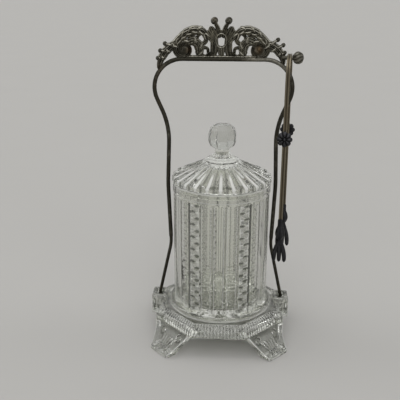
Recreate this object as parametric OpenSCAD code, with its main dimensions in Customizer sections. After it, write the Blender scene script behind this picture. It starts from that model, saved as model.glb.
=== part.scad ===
// Pickle castor: a fluted glass jar with a knobbed lid on a footed glass stand,
// carried by a wire bail with a cast scroll crest and a hook for spring tongs.
// Millimetres. Z points up, the feet rest on Z = 0 and the front faces -Y.

/* [Stand] */
// Width of the flat shelf between the gallery and the border
shelf_w = 3.3; // [3:0.1:5]
// Height of the plate's underside above the table
plate_bottom = 16.5; // [14:0.5:20]
// Height of the upright toothed edge
plate_edge_h = 5; // [3:0.5:7]
// Width of the sloped border inside the edge
border_w = 6; // [4:0.5:7]
// Rise of the sloped border
border_rise = 5; // [3:0.5:7]
// Depth of the well that the jar stands in
well_depth = 4; // [2:0.5:6]
// Height of the gallery ring above the plate
gallery_h = 2.6; // [1:0.2:4]
// Width of the gallery ring
gallery_w = 3; // [2:0.2:3.6]
// Number of ribs along each side of the plate
side_ribs = 16; // [10:1:18]
// Depth of the furrows between the ribs
rib_depth = 0.7; // [0.3:0.1:0.9]

/* [Feet] */
// How far a toe reaches out past the plate's side
toe_out = 16.4; // [11:0.2:20]
// Width of a toe
toe_w = 20.6; // [18:0.2:30]
// Height of the upright lip at the toe
toe_h = 2.4; // [1:0.2:4]
// Depth of a toe from its outer edge inwards
toe_depth = 11; // [7:0.5:14]
// Radius of the hollow flare above the toe
flare_r = 24; // [20:1:40]
// How far a foot's top runs out past the plate's corner beside an ear
foot_splay = 2.8; // [0:0.2:4]
// How far a foot's top stays short of the plate's corner away from the ears
foot_inset = 4; // [1:0.2:6]

/* [Ears] */
// How far an ear stands out from the plate's side
ear_out = 6; // [5:0.2:8]
// How far an ear runs in over the border
ear_in = 5.9; // [5:0.1:6.5]
// Width of an ear
ear_w = 17; // [14:0.5:22]
// Height of an ear's top above the plate
ear_rise = 4.5; // [3:0.25:7]
// Depth of an ear below the plate's underside
ear_drop = 2.5; // [0:0.5:5]
// Thickness of the wall that holds the pivot
ear_wall = 3.2; // [2.4:0.1:4]
// Width of the slot that the bail's leg swings in
slot_w = 4.7; // [4.4:0.1:5.2]
// Height of the pivot above the plate
pivot_rise = 1; // [0:0.25:2]
// Half angle of the slot
slot_angle = 38; // [30:1:45]

/* [Jar] */
// Radius of the jar's body
jar_r = 38.6; // [34:0.1:42]
// Height of the jar
jar_h = 109.3; // [90:0.1:125]
// Thickness of the jar's wall
jar_wall = 4.3; // [3:0.1:6]
// Thickness of the jar's floor
jar_floor = 9; // [5:0.5:14]
// Height of the plain band under the rim
rim_h = 7.8; // [5:0.2:14]
// How far the plain band stands proud of the body
rim_proud = 0.6; // [0.2:0.1:1]
// Number of upright columns round the jar, in groups of six
jar_columns = 24; // [18:6:30]
// Depth of a fluted column
jar_flute_depth = 0.9; // [0.5:0.1:1.2]
// Depth of a panelled column
jar_panel_depth = 0.4; // [0.2:0.1:0.8]
// Width of the hollow in a fluted or panelled column
jar_flute_w = 8.4; // [5:0.2:8.4]
// Depth of the furrow between two columns
parting_depth = 0.7; // [0.4:0.1:0.9]
// Height of the plain foot below the flutes
jar_foot_h = 8; // [7:0.5:14]
// Plain land between the flutes and the rim band
jar_land_h = 1; // [0.5:0.1:3]
// Length of a flute's rounded end
jar_flute_end = 3.8; // [2:0.2:6]
// Turn of the jar in its well
jar_turn = -1; // [-7:0.5:7]

/* [Lid] */
// How far the lid's edge stands out past the jar's body
lid_proud = 1; // [0.6:0.1:2]
// Height of the lid's upright edge
lid_edge_h = 4.4; // [3:0.2:7]
// Rise of the fluted cone from edge to collar
cone_rise = 11.8; // [8:0.2:18]
// Radius of the collar under the neck
collar_r = 13.5; // [11:0.25:18]
// Height of the collar's stepped rise
collar_h = 5.6; // [3:0.2:8]
// Radius of the neck under the knob
neck_r = 5.5; // [4:0.25:7]
// Height of the neck
neck_h = 4; // [2:0.5:8]
// Width of the step round the neck's foot
neck_step = 1.5; // [0.5:0.1:2.5]
// Half width of the knob across its flats
knob_r = 11; // [8:0.25:14]
// Height of the knob
knob_h = 19; // [14:0.5:24]
// Thickness of the lid's wall
lid_wall = 5.2; // [4:0.2:7]
// Depth of the flange inside the jar's mouth
flange_h = 6; // [3:0.5:10]
// Thickness of the flange
flange_wall = 3.2; // [2:0.2:5]
// Number of radial flutes on the lid
lid_flutes = 24; // [18:1:30]
// Depth of a radial flute at the edge
lid_flute_depth = 0.9; // [0.4:0.1:1.3]

/* [Bail] */
// Radius of the thick bail wire
wire_r = 1.65; // [1.6:0.05:2]
// Radius of the thin wire of the lower legs
leg_r = 1.35; // [0.9:0.05:1.4]
// Height of the top bar's centre line
bar_z = 226.5; // [215:0.5:245]
// Half width of the bail where bar and leg lines meet
shoulder_x = 64.2; // [60:0.2:70]
// Bend radius of the shoulders
shoulder_bend = 21.5; // [14:0.5:25]
// Height of the waist above the lid
waist_z = 175.5; // [168:0.5:185]
// Bend radius of the waist
waist_bend = 60; // [30:1:80]
// Gap between lid edge and wire at the waist
waist_gap = 0.2; // [0:0.1:2]
// Height of the bulge beside the jar's rim
bulge_z = 128; // [115:0.5:140]
// Bend radius of the bulge
bulge_bend = 150; // [60:5:200]
// Gap between lid edge and wire at the bulge
bulge_gap = 1.8; // [1.5:0.1:5]
// Height where the thin leg enters the thick wire
splice_z = 81.5; // [65:0.5:90]
// Gap between jar and thick wire at the splice
splice_gap = 1; // [0.5:0.1:3]
// Depth of the socket in the thick wire's end
socket_depth = 5; // [3:0.5:8]
// Bend radius of the leg below the splice
leg_bend = 38; // [15:1:38]
// Bend radius of the hooked end
hook_bend = 2.6; // [2:0.1:2.8]

/* [Crest] */
// Reach of the crest from its middle to the tip of its left leaf
crest_reach = 49; // [46:0.5:51]
// Offset of the crest from the middle of the bar
crest_shift = -1.8; // [-3:0.1:-1]
// Depth of the scroll bands from front to back
crest_depth = 4.4; // [3:0.1:6]
// Height of the crown of a scroll arch above the bar
arch_h = 19.4; // [17:0.1:21]
// Distance of an arch's inner end from the crest's middle
arch_in = 11.2; // [10:0.1:12]
// Distance of an arch's outer end from the crest's middle
arch_out = 35; // [34:0.1:36]
// Radius of the large curl inside an arch
curl_r = 6.8; // [6:0.1:7.4]
// Radius of the balls on the palmette
curl_ball_r = 2.8; // [2:0.1:3.4]
// Height of the balls above the bar
curl_ball_z = 26.2; // [24:0.1:28]
// Distance of the balls from the crest's middle
curl_ball_x = 5.3; // [4.6:0.1:6]
// Radius of the bumps on the end leaves
leaf_bump_r = 1.3; // [0.9:0.1:1.6]

/* [Tong hook] */
// Radius of the hook pin
pin_r = 1.6; // [1.2:0.1:2]
// Height of the pin above the bar's centre line
pin_rise = 1.5; // [0.5:0.1:3]
// Length of the pin from its root in the leaf to the ball's centre
pin_len = 12.6; // [11:0.2:14]
// Distance of the ball's centre from the middle
ball_x = 55.6; // [55:0.1:58]
// Radius of the lobed ball
ball_r = 4.8; // [4:0.1:5.4]
// Half length of the ball along the pin
ball_half = 4.2; // [3.4:0.1:4.6]
// Number of lobes round the ball
ball_lobes = 9; // [7:1:12]

/* [Tongs] */
// Width of the spring strip
strip_w = 3.2; // [2.4:0.1:4]
// Thickness of the spring strip
strip_t = 1.3; // [0.8:0.1:1.6]
// Inner radius of the bow
bow_r = 13; // [10:0.5:14]
// Outward lean of the arms
arm_lean = 2.3; // [0.5:0.1:3]
// Turn of the hanging tongs about the upright
tong_turn = 8; // [0:1:12]
// Length of an arm from bow to claw
arm_len = 115.5; // [100:0.5:118]
// Distance of a rosette below the bow
rosette_drop = 47.8; // [40:0.2:60]
// Radius of a rosette
rosette_r = 6; // [4.5:0.1:6.5]
// Thickness of a rosette's disc
rosette_t = 1.6; // [1:0.1:2.4]
// Number of petals on a rosette
petals = 8; // [6:1:10]
// Length of a claw's bulb
bulb_len = 18; // [14:0.5:22]
// Width of a claw's bulb
bulb_w = 7.6; // [6:0.2:9]
// Length of arm that is held inside a claw
claw_grip = 4; // [2:0.5:6]
// Wall of a claw's socket round the strip
socket_wall = 0.7; // [0.5:0.1:1.2]
// Length of the prongs below the bulb
prong_len = 22; // [16:0.5:23]
// Half spread of the outer prongs
prong_spread = 4.1; // [3.8:0.1:5]
// Radius of a prong
prong_r = 1.45; // [1:0.05:1.6]
// Inward tilt of the prongs
prong_tilt = 7; // [0:1:9]

/* [Clearances] */
// Gap under the jar and under the lid, where they rest
rest_gap = 0.05; // [0.02:0.01:0.08]
// Gap round the jar in its well
seat_gap = 0.5; // [0.3:0.1:1]
// Gap round the lid's flange in the jar's mouth
flange_gap = 0.5; // [0.3:0.1:1]
// Running gap round a pivot pin
pivot_gap = 0.06; // [0.03:0.01:0.1]
// Gap left for solder between joined metal pieces
solder_gap = 0.03; // [0.02:0.01:0.05]
// Gap round the wire in its slot
slot_gap = 0.4; // [0.3:0.05:0.6]
// Gap between the tongs' bow and the hook
hang_gap = 0.2; // [0.1:0.05:0.3]
// Gap between the crest's right leaf and the tongs' bow
leaf_gap = 1.3; // [0.8:0.1:2]

/* [Hidden] */
$fn = 64;
overlap = 1;
bend_step = 12;
wire_sides = 12;
band_sides = 8;
glass_tint = [0.84, 0.87, 0.86, 0.55];
silver_tint = [0.36, 0.34, 0.30];
strip_tint = [0.47, 0.42, 0.33];
dark_tint = [0.10, 0.10, 0.11];

well_r = jar_r + seat_gap;
gallery_r = well_r + gallery_w;
plate_half = gallery_r + shelf_w + border_w;
edge_top = plate_bottom + plate_edge_h;
plate_top = edge_top + border_rise;
toe_reach = plate_half + toe_out;
border_slope = atan2(border_rise, border_w);
border_run = norm([border_w, border_rise]);
skim = 0.05;
plate_side = 2 * plate_half * tan(22.5);
foot_top = edge_top - overlap;
flare_x = plate_half - overlap + flare_r;
flare_z = toe_h + sqrt(flare_r ^ 2 - (flare_x - toe_reach) ^ 2);
foot_root = plate_half - toe_depth;

ear_x0 = plate_half - ear_in;
ear_x1 = plate_half + ear_out;
ear_top = plate_top + ear_rise;
pivot_z = plate_top + pivot_rise;
slot_x0 = ear_x0 + ear_wall;
slot_r = leg_r + slot_gap;

well_z = plate_top - well_depth;
jar_z = well_z + rest_gap;
rim_z = jar_z + jar_h;
jar_inner = jar_r - jar_wall;
jar_flute_top = jar_h - rim_h - jar_land_h;
jar_kinds = ["flute", "panel", "rib", "flute", "rib", "panel"];
column_angle = 360 / jar_columns;

lid_z = rim_z + rest_gap;
lid_r = jar_r + lid_proud;
flange_r = jar_inner - flange_gap;
cone_z = lid_edge_h + cone_rise;
cone_slope = atan2(cone_rise, lid_r - collar_r);
neck_z = cone_z + collar_h;
knob_z = neck_z + neck_h + knob_h / 2;

waist_x = lid_r + wire_r + waist_gap;
bulge_x = lid_r + wire_r + bulge_gap;
splice_x = jar_r + wire_r + splice_gap;
splice_tilt = atan2(bulge_x - splice_x, bulge_z - splice_z);
splice_run = [-sin(splice_tilt), -cos(splice_tilt)];
leg_lean = atan2(slot_x0 + slot_w / 2 - splice_x, splice_z - pivot_z);
hook_x = slot_x0 + hook_bend * tan(45 + leg_lean / 2);
leg_start = [splice_x, splice_z] - socket_depth * splice_run;
leg_corner = [splice_x, splice_z] + socket_depth * splice_run;
neck_ratio = 0.9;

crest_z = bar_z + wire_r;
crest_unit = crest_reach / 49;
curl_x = arch_out - curl_r;
curl_z = 0.82 * curl_r;

pin_z = bar_z + pin_rise;
pin_x = ball_x - pin_len;
lobe_r = ball_r * 0.32;
lobe_ring = ball_r * 0.72;
tong_x = ball_x - ball_half - strip_w / 2 - 2 * hang_gap;
bow_z = pin_z + pin_r + hang_gap - bow_r;
leaf_x = tong_x - strip_w / 2 - leaf_gap - leaf_bump_r - crest_shift;

// Unit vector from a to b in the drawing plane
function heading(a, b) = (b - a) / norm(b - a);

// Signed turn from direction u to direction v
function turn_angle(u, v) = atan2(u.x * v.y - u.y * v.x, u * v);

// Length that a bend takes from the straight on either side of corner i
function bend_run(pts, bends, i) = i == 0 || i == len(pts) - 1 ? 0
    : bends[i] * tan(abs(turn_angle(heading(pts[i - 1], pts[i]), heading(pts[i], pts[i + 1]))) / 2);

// Points along the bend at corner i
function bend_arc(pts, bends, i) =
    let (
        dir = heading(pts[i - 1], pts[i]),
        turn = turn_angle(dir, heading(pts[i], pts[i + 1])),
        from = pts[i] - dir * bend_run(pts, bends, i),
        centre = from + sign(turn) * bends[i] * [-dir.y, dir.x],
        spoke = atan2(from.y - centre.y, from.x - centre.x),
        steps = max(2, ceil(abs(turn) / bend_step))
    )
    [
        for (k = [0 : steps])
            let (a = spoke + turn * k / steps)
                centre + bends[i] * [cos(a), sin(a)]
    ];

// Centre line of a wire along corner points, with a bend radius at each inner corner
function wire_path(pts, bends) = concat(
    [pts[0]],
    [for (i = [1 : len(pts) - 2]) each bend_arc(pts, bends, i)],
    [pts[len(pts) - 1]]
);

// Solid lofted along a path in the XZ plane, from half widths and half depths at each point
module loft(path, half_w, half_d, sides) {
    last = len(path) - 1;
    points = [
        for (i = [0 : last])
            let (along = heading(path[max(i - 1, 0)], path[min(i + 1, last)]))
                for (k = [0 : sides - 1])
                    let (a = 360 * (k + 0.5) / sides, across = half_w[i] * cos(a))
                        [path[i].x - along.y * across, half_d[i] * sin(a), path[i].y + along.x * across]
    ];
    walls = [
        for (i = [0 : last - 1])
            for (k = [0 : sides - 1])
                let (n = (k + 1) % sides)
                    [i * sides + k, i * sides + n, (i + 1) * sides + n, (i + 1) * sides + k]
    ];
    caps = [
        [for (k = [sides - 1 : -1 : 0]) k],
        [for (k = [0 : sides - 1]) last * sides + k]
    ];
    polyhedron(points, concat(walls, caps), convexity = 6);
}

// Round wire along a path
module wire(path, r) {
    radii = [for (p = path) r];
    loft(path, radii, radii, wire_sides);
}

// Points along an elliptic spiral about c, from radii ra to rb and angle a0 to a1
function scroll_path(c, ra, rb, a0, a1, steps) = [
    for (i = [0 : steps])
        let (t = i / steps, a = a0 + (a1 - a0) * t, r = ra + (rb - ra) * t)
            [c.x + r.x * cos(a), c.y + r.y * sin(a)]
];

// Smooth curve through four guide points
function guide_path(p, steps) = [
    for (i = [0 : steps])
        let (t = i / steps, s = 1 - t)
            s ^ 3 * p[0] + 3 * s ^ 2 * t * p[1] + 3 * s * t ^ 2 * p[2] + t ^ 3 * p[3]
];

// Width along a band: root at its start, belly in the middle and tip at its end
function band_width(w, t) = w[0] + (w[2] - w[0]) * t + (w[1] - (w[0] + w[2]) / 2) * sin(180 * t);

// Cast band of rounded section that follows a path
module band(path, w, depth) {
    last = len(path) - 1;
    half_w = [for (i = [0 : last]) band_width(w, i / last) / 2];
    half_d = [for (p = path) depth / 2];
    loft(path, half_w, half_d, band_sides);
}

// Rounded leaf lobe between two points in the XZ plane
module lobe(a, b, ra, rb) {
    hull() {
        translate([a.x, 0, a.y]) sphere(ra, $fn = 12);
        translate([b.x, 0, b.y]) sphere(rb, $fn = 12);
    }
}

// Solid with eight equal sides, cut from one outline in the XZ plane
module eight_sided(outline, width) {
    intersection_for (k = [0 : 3])
        rotate([90, 0, 45 * k])
            linear_extrude(height = width, center = true)
                polygon(outline);
}

// One foot, whose top runs past the plate's corner on the ear's side and stops short of the other corner
module foot() {
    splay = plate_side / 2 + foot_splay;
    inset = plate_side / 2 - foot_inset;
    intersection() {
        rotate([90, 0, 0])
            linear_extrude(height = 2 * splay, center = true)
                difference() {
                    polygon([
                        [foot_root, foot_top], [plate_half - overlap, foot_top],
                        [plate_half - overlap, plate_bottom], [toe_reach, plate_bottom], [toe_reach, 0],
                        [toe_reach - toe_depth, 0], [foot_root, plate_bottom - overlap]
                    ]);
                    translate([flare_x, flare_z])
                        circle(flare_r);
                }
        rotate([90, 0, 90])
            linear_extrude(height = toe_reach + overlap)
                polygon([
                    [-splay, foot_top], [-splay, plate_bottom], [-toe_w / 2, toe_h], [-toe_w / 2, 0],
                    [toe_w / 2, 0], [toe_w / 2, toe_h], [inset, plate_bottom], [inset, foot_top]
                ]);
    }
}

module ear() {
    tip = ear_top - pivot_z + overlap;
    mouth = slot_r / cos(slot_angle);
    difference() {
        translate([ear_x0, -ear_w / 2, plate_bottom - ear_drop])
            cube([ear_x1 - ear_x0, ear_w, ear_top - plate_bottom + ear_drop]);
        translate([slot_x0, 0, pivot_z])
            rotate([90, 0, 90])
                linear_extrude(height = slot_w)
                    union() {
                        circle(slot_r);
                        polygon([
                            [-slot_r * cos(slot_angle), -slot_r * sin(slot_angle)],
                            [slot_r * cos(slot_angle), -slot_r * sin(slot_angle)],
                            [mouth + tip * tan(slot_angle), tip],
                            [-mouth - tip * tan(slot_angle), tip]
                        ]);
                    }
        translate([ear_x0 - overlap, 0, pivot_z])
            rotate([0, 90, 0])
                cylinder(h = ear_wall + 2 * overlap, r = leg_r + pivot_gap);
    }
}

// Comb of furrows along one side of the plate: depth along X and the side along Y
module rib_comb() {
    pitch = plate_side / side_ribs;
    reach = plate_side / 2 + overlap;
    polygon([
        [overlap, -reach], [-skim, -reach],
        for (k = [0 : side_ribs - 1])
            each [
                [-skim, k * pitch - plate_side / 2],
                [-skim - rib_depth, (k + 0.5) * pitch - plate_side / 2]
            ],
        [-skim, plate_side / 2], [-skim, reach], [overlap, reach]
    ]);
}

// Octagonal plate with ribs across its upright edge and its sloped border
module plate() {
    difference() {
        eight_sided([
            [-plate_half, plate_bottom], [plate_half, plate_bottom], [plate_half, edge_top],
            [plate_half - border_w, plate_top], [-plate_half + border_w, plate_top], [-plate_half, edge_top]
        ], 4 * plate_half);
        for (k = [0 : 7])
            rotate([0, 0, 45 * k]) {
                translate([plate_half, 0, plate_bottom - overlap])
                    linear_extrude(height = plate_edge_h + 2 * overlap)
                        rib_comb();
                translate([plate_half, 0, edge_top])
                    rotate([0, border_slope - 90, 0])
                        translate([0, 0, -overlap])
                            linear_extrude(height = border_run + 2 * overlap)
                                rib_comb();
            }
    }
}

module glass_base() {
    color(glass_tint)
        union() {
            difference() {
                union() {
                    plate();
                    translate([0, 0, edge_top])
                        cylinder(h = border_rise + gallery_h, r = gallery_r);
                    for (right = [0, 1], rear = [0, 1])
                        mirror([right, 0, 0])
                            mirror([0, rear, 0])
                                rotate([0, 0, 45])
                                    foot();
                }
                translate([0, 0, well_z])
                    cylinder(h = well_depth + gallery_h + overlap, r = well_r);
                for (a = [0, 180])
                    rotate([0, 0, a])
                        translate([ear_x0, -ear_w / 2, plate_bottom])
                            cube([ear_x1 - ear_x0, ear_w, ear_top - plate_bottom]);
            }
            for (a = [0, 180])
                rotate([0, 0, a])
                    ear();
        }
}

// Long cutter with tapered ends that hollows one upright column of the jar
module jar_hollow(depth) {
    r = (jar_flute_w ^ 2 / 4 + depth ^ 2) / (2 * depth);
    tip_ratio = 1.5;
    tip_r = r - tip_ratio * depth;
    tip_len = tip_ratio * jar_flute_end;
    translate([jar_r + r - depth, 0, 0])
        rotate_extrude()
            polygon([
                [0, jar_foot_h], [tip_r, jar_foot_h], [r, jar_foot_h + tip_len],
                [r, jar_flute_top - tip_len], [tip_r, jar_flute_top], [0, jar_flute_top]
            ]);
}

// Furrow between two columns of the jar
module jar_parting() {
    groove_r = 2 * parting_depth;
    translate([jar_r + groove_r - parting_depth, 0, jar_foot_h + jar_flute_end])
        cylinder(h = jar_flute_top - jar_foot_h - 2 * jar_flute_end, r = groove_r, $fn = 4);
}

module glass_jar() {
    color(glass_tint)
        translate([0, 0, jar_z])
            rotate([0, 0, jar_turn - 90])
                difference() {
                    union() {
                        cylinder(h = jar_h, r = jar_r);
                        translate([0, 0, jar_h - rim_h])
                            cylinder(h = rim_h, r = jar_r + rim_proud);
                    }
                    translate([0, 0, jar_floor])
                        cylinder(h = jar_h, r = jar_inner);
                    for (k = [0 : jar_columns - 1])
                        rotate([0, 0, k * column_angle]) {
                            if (jar_kinds[k % 6] == "flute")
                                jar_hollow(jar_flute_depth);
                            if (jar_kinds[k % 6] == "panel")
                                jar_hollow(jar_panel_depth);
                            rotate([0, 0, column_angle / 2])
                                jar_parting();
                        }
                }
}

// Tapered cutter that hollows one radial flute of the lid's cone
module lid_flute() {
    pitch = 360 / lid_flutes;
    near_w = 0.8 * collar_r * pitch * PI / 180;
    far_w = 0.8 * lid_r * pitch * PI / 180;
    near_depth = lid_flute_depth * collar_r / lid_r;
    near_r = (near_w ^ 2 / 4 + near_depth ^ 2) / (2 * near_depth);
    far_r = (far_w ^ 2 / 4 + lid_flute_depth ^ 2) / (2 * lid_flute_depth);
    slant = norm([lid_r - collar_r, cone_rise]);
    flare = atan2(far_r - lid_flute_depth - near_r + near_depth, slant);
    translate([collar_r, 0, cone_z])
        rotate([0, 90 + cone_slope, 0])
            translate([near_depth - near_r, 0, 0])
                rotate([0, -flare, 0])
                    cylinder(h = 2 * slant, r1 = near_r, r2 = 2 * far_r - near_r);
}

module glass_lid() {
    color(glass_tint)
        translate([0, 0, lid_z])
            union() {
                difference() {
                    rotate_extrude()
                        polygon([
                            [0, -flange_h], [flange_r, -flange_h], [flange_r, 0], [lid_r, 0],
                            [lid_r, lid_edge_h], [collar_r, cone_z], [0, cone_z]
                        ]);
                    for (k = [0 : lid_flutes - 1])
                        rotate([0, 0, k * 360 / lid_flutes])
                            lid_flute();
                    rotate_extrude()
                        polygon([
                            [0, -flange_h - overlap], [flange_r - flange_wall, -flange_h - overlap],
                            [flange_r - flange_wall, lid_edge_h - lid_wall / 2],
                            [collar_r, cone_z - lid_wall], [0, cone_z - lid_wall]
                        ]);
                }
                rotate_extrude()
                    polygon([
                        [0, cone_z - overlap], [collar_r, cone_z - overlap],
                        [collar_r, cone_z + collar_h / 5],
                        [neck_r + neck_step, cone_z + 0.6 * collar_h], [neck_r + neck_step, neck_z],
                        [neck_r, neck_z], [neck_r, neck_z + neck_h + overlap], [0, neck_z + neck_h + overlap]
                    ]);
                translate([0, 0, knob_z])
                    knob();
            }
}

// Knob with eight rows of flat panels, on a round neck
module knob() {
    half = knob_h / 2;
    eight_sided([
        [-0.56 * knob_r, half], [-0.86 * knob_r, 0.7 * half], [-knob_r, 0.26 * half], [-knob_r, -0.26 * half],
        [-0.86 * knob_r, -0.66 * half], [-0.5 * knob_r, -half], [0.5 * knob_r, -half],
        [0.86 * knob_r, -0.66 * half], [knob_r, -0.26 * half], [knob_r, 0.26 * half],
        [0.86 * knob_r, 0.7 * half], [0.56 * knob_r, half]
    ], 3 * knob_r);
}

// Centre line of the thick wire, from the left splice over the bar to the right splice
half_arch = [[shoulder_x, bar_z], [waist_x, waist_z], [bulge_x, bulge_z], [splice_x, splice_z]];
half_bends = [shoulder_bend, waist_bend, bulge_bend, 0];
arch_points = [for (i = [-4 : 3]) i < 0 ? [-half_arch[-1 - i].x, half_arch[-1 - i].y] : half_arch[i]];
arch_bends = [for (i = [-4 : 3]) i < 0 ? half_bends[-1 - i] : half_bends[i]];

module arch_wire(r) {
    wire(wire_path(arch_points, arch_bends), r);
}

module bail_arch() {
    color(silver_tint)
        difference() {
            arch_wire(wire_r);
            for (side = [0, 1])
                mirror([side, 0, 0])
                    translate([splice_x, 0, splice_z])
                        rotate([0, splice_tilt, 0])
                            translate([0, 0, -overlap])
                                cylinder(h = socket_depth + overlap, r = leg_r + solder_gap);
        }
}

// Thin leg: a bent wire whose hooked end is dressed to a round pivot pin
module lower_leg() {
    pin_end = ear_x0 + leg_r / 4;
    path = wire_path(
        [leg_start, leg_corner, [hook_x, pivot_z], [slot_x0 - overlap, pivot_z]],
        [0, leg_bend, hook_bend, 0]
    );
    radii = [for (i = [0 : len(path) - 1]) i < len(path) - 2 ? leg_r : neck_ratio * leg_r];
    color(silver_tint)
        union() {
            loft(path, radii, radii, wire_sides);
            translate([pin_end, 0, pivot_z])
                rotate([0, 90, 0])
                    cylinder(h = slot_x0 + slot_gap / 2 - pin_end, r = leg_r);
        }
}

module right_lower_leg() {
    lower_leg();
}

module left_lower_leg() {
    rotate([0, 0, 180])
        lower_leg();
}

// One side of the openwork: a scroll arch with its curls, the leaf inside it, and half of the palmette
module crest_side() {
    u = crest_unit;
    depth = crest_depth;
    curl = [curl_r, curl_r];
    eye = u * [1.4, 1.4];
    arch = [
        [arch_in, 0.64 * arch_h], [arch_in, 1.19 * arch_h],
        [0.78 * arch_out, 1.145 * arch_h], [arch_out, 0.36 * arch_h]
    ];
    hook = [arch_in + 3.6 * u, 13.2 * u];
    ball = [curl_ball_x, curl_ball_z];
    band(guide_path(arch, 16), u * [4.2, 7.6, 4.4], depth);
    band(scroll_path([curl_x, curl_z], curl, eye, 8, -470, 26), u * [4, 3.4, 2.4], 0.9 * depth);
    band(scroll_path(hook, u * [3.6, 3.8], u * [3, 3.2], 176, 450, 12), u * [4, 3.2, 2.4], 0.8 * depth);
    band(scroll_path(u * [11.8, 4.2], u * [4.6, 4.2], eye, -118, 230, 16), u * [3, 3.2, 2.4], 0.7 * depth);
    band(guide_path(u * [[18, 0.4], [14, 6], [17.4, 13.6], [25.6, 9.6]], 10), u * [4.4, 8, 2.4], 0.8 * depth);
    band(guide_path([u * [6.6, 0.2], u * [3.6, 7], u * [6.8, 16], ball], 12), u * [5, 6.4, 4], depth);
    translate([ball.x, 0, ball.y])
        sphere(curl_ball_r, $fn = 16);
    lobe(u * [19.4, 11.8], u * [26, 10.2], 2.9 * u, 1.8 * u);
    lobe(u * [5.4, 11], u * [9.4, 17], 2.4 * u, 2.9 * u);
    lobe(u * [4.4, 14], u * [7.4, 20], 2.4 * u, 2.7 * u);
    lobe(u * [1.4, 16], u * [2, 20.8], 2.3 * u, 2.5 * u);
}

// End leaf with three outer bumps, from the arch down to the shoulder
module end_leaf(guides, bumps) {
    spine = guide_path(guides, 9);
    band(spine, crest_unit * [5, 8.8, 2.4], 0.9 * crest_depth);
    for (k = [0 : 2])
        lobe(spine[2 + 2 * k], bumps[k], 2.4 * crest_unit, leaf_bump_r);
}

module crest() {
    u = crest_unit;
    root = [arch_out - 2.6 * u, 10.2 * u];
    color(silver_tint)
        difference() {
            translate([crest_shift, 0, crest_z]) {
                for (side = [0, 1])
                    mirror([side, 0, 0])
                        crest_side();
                band(u * [[-29, 0.3], [0, 0.3], [29, 0.3]], u * [2, 2, 2], 0.7 * crest_depth);
                lobe(u * [0, 0.4], u * [0, 5.2], 1.5 * u, 1.9 * u);
                end_leaf(
                    [root, [leaf_x - 6.6 * u, 8.4 * u], [leaf_x - 1.2 * u, 3 * u], [leaf_x, -5.4 * u]],
                    [[leaf_x - 4.4 * u, 13 * u], [leaf_x - 0.6 * u, 9 * u], [leaf_x, 3.6 * u]]
                );
                end_leaf(
                    [[-root.x, root.y], u * [-41.5, 6.8], u * [-46.2, -1], u * [-47.4, -9.6]],
                    u * [[-42.8, 9.4], [-45.9, 4.2], [-47.7, -1.2]]
                );
            }
            arch_wire(wire_r + solder_gap);
            translate([pin_x, 0, pin_z])
                rotate([0, 90, 0])
                    cylinder(h = ball_x - pin_x, r = pin_r + solder_gap);
        }
}

module tong_hook() {
    color(silver_tint)
        union() {
            translate([pin_x, 0, pin_z])
                rotate([0, 90, 0])
                    cylinder(h = ball_x - pin_x, r = pin_r);
            translate([ball_x, 0, pin_z])
                intersection() {
                    sphere(ball_r);
                    rotate([0, 90, 0])
                        linear_extrude(height = 2 * ball_half, center = true)
                            for (k = [0 : ball_lobes - 1])
                                rotate(360 * k / ball_lobes)
                                    union() {
                                        translate([lobe_ring, 0])
                                            circle(lobe_r);
                                        translate([0, -lobe_r / 2])
                                            square([lobe_ring, lobe_r]);
                                    }
                }
        }
}

// Places children in the plane of the hanging tongs, with the bow's centre at the origin
module tong_plane() {
    translate([tong_x, 0, bow_z])
        rotate([0, 0, -tong_turn])
            children();
}

// Places children along the front arm, or mirrored along the rear arm
module along_arm(rear) {
    tong_plane()
        mirror([0, rear ? 1 : 0, 0])
            rotate([-arm_lean, 0, 0])
                translate([0, -bow_r - strip_t / 2, 0])
                    children();
}

module tong_bow() {
    color(strip_tint)
        tong_plane()
            rotate([0, 90, 0])
                rotate([0, 0, 90 + arm_lean])
                    rotate_extrude(angle = 180 - 2 * arm_lean)
                        translate([bow_r, -strip_w / 2])
                            square([strip_t, strip_w]);
}

module tong_arm(rear) {
    color(strip_tint)
        along_arm(rear)
            translate([-strip_w / 2, -strip_t / 2, -arm_len])
                cube([strip_w, strip_t, arm_len]);
}

module rosette(rear) {
    petal_r = rosette_r * 0.36;
    color(dark_tint)
        along_arm(rear)
            translate([0, -strip_t / 2, -rosette_drop])
                rotate([90, 0, 0])
                    intersection() {
                        union() {
                            cylinder(h = rosette_t, r = 0.8 * rosette_r);
                            for (k = [0 : petals - 1])
                                rotate([0, 0, 360 * k / petals])
                                    translate([rosette_r - petal_r, 0, rosette_t / 2])
                                        sphere(petal_r);
                            translate([0, 0, rosette_t])
                                sphere(0.32 * rosette_r);
                        }
                        cylinder(h = rosette_r, r = 2 * rosette_r);
                    }
}

module claw(rear) {
    steps = 12;
    drop = [
        for (i = [0 : steps])
            let (t = i / steps)
                [bulb_w / 2 * sin(180 * t ^ 1.6) ^ 0.7, bulb_len * (0.5 - t)]
    ];
    color(dark_tint)
        along_arm(rear)
            difference() {
                translate([0, 0, -arm_len - bulb_len / 2 + claw_grip])
                    union() {
                        rotate_extrude()
                            polygon(drop);
                        cylinder(h = bulb_len / 2, r = strip_w / 2 + socket_wall);
                        translate([0, 0, -bulb_len / 2 + 2 * prong_r])
                            rotate([prong_tilt, 0, 0])
                                prongs();
                    }
                translate([-strip_w / 2 - solder_gap, -strip_t / 2 - solder_gap, -arm_len])
                    cube([strip_w + 2 * solder_gap, strip_t + 2 * solder_gap, arm_len]);
            }
}

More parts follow.
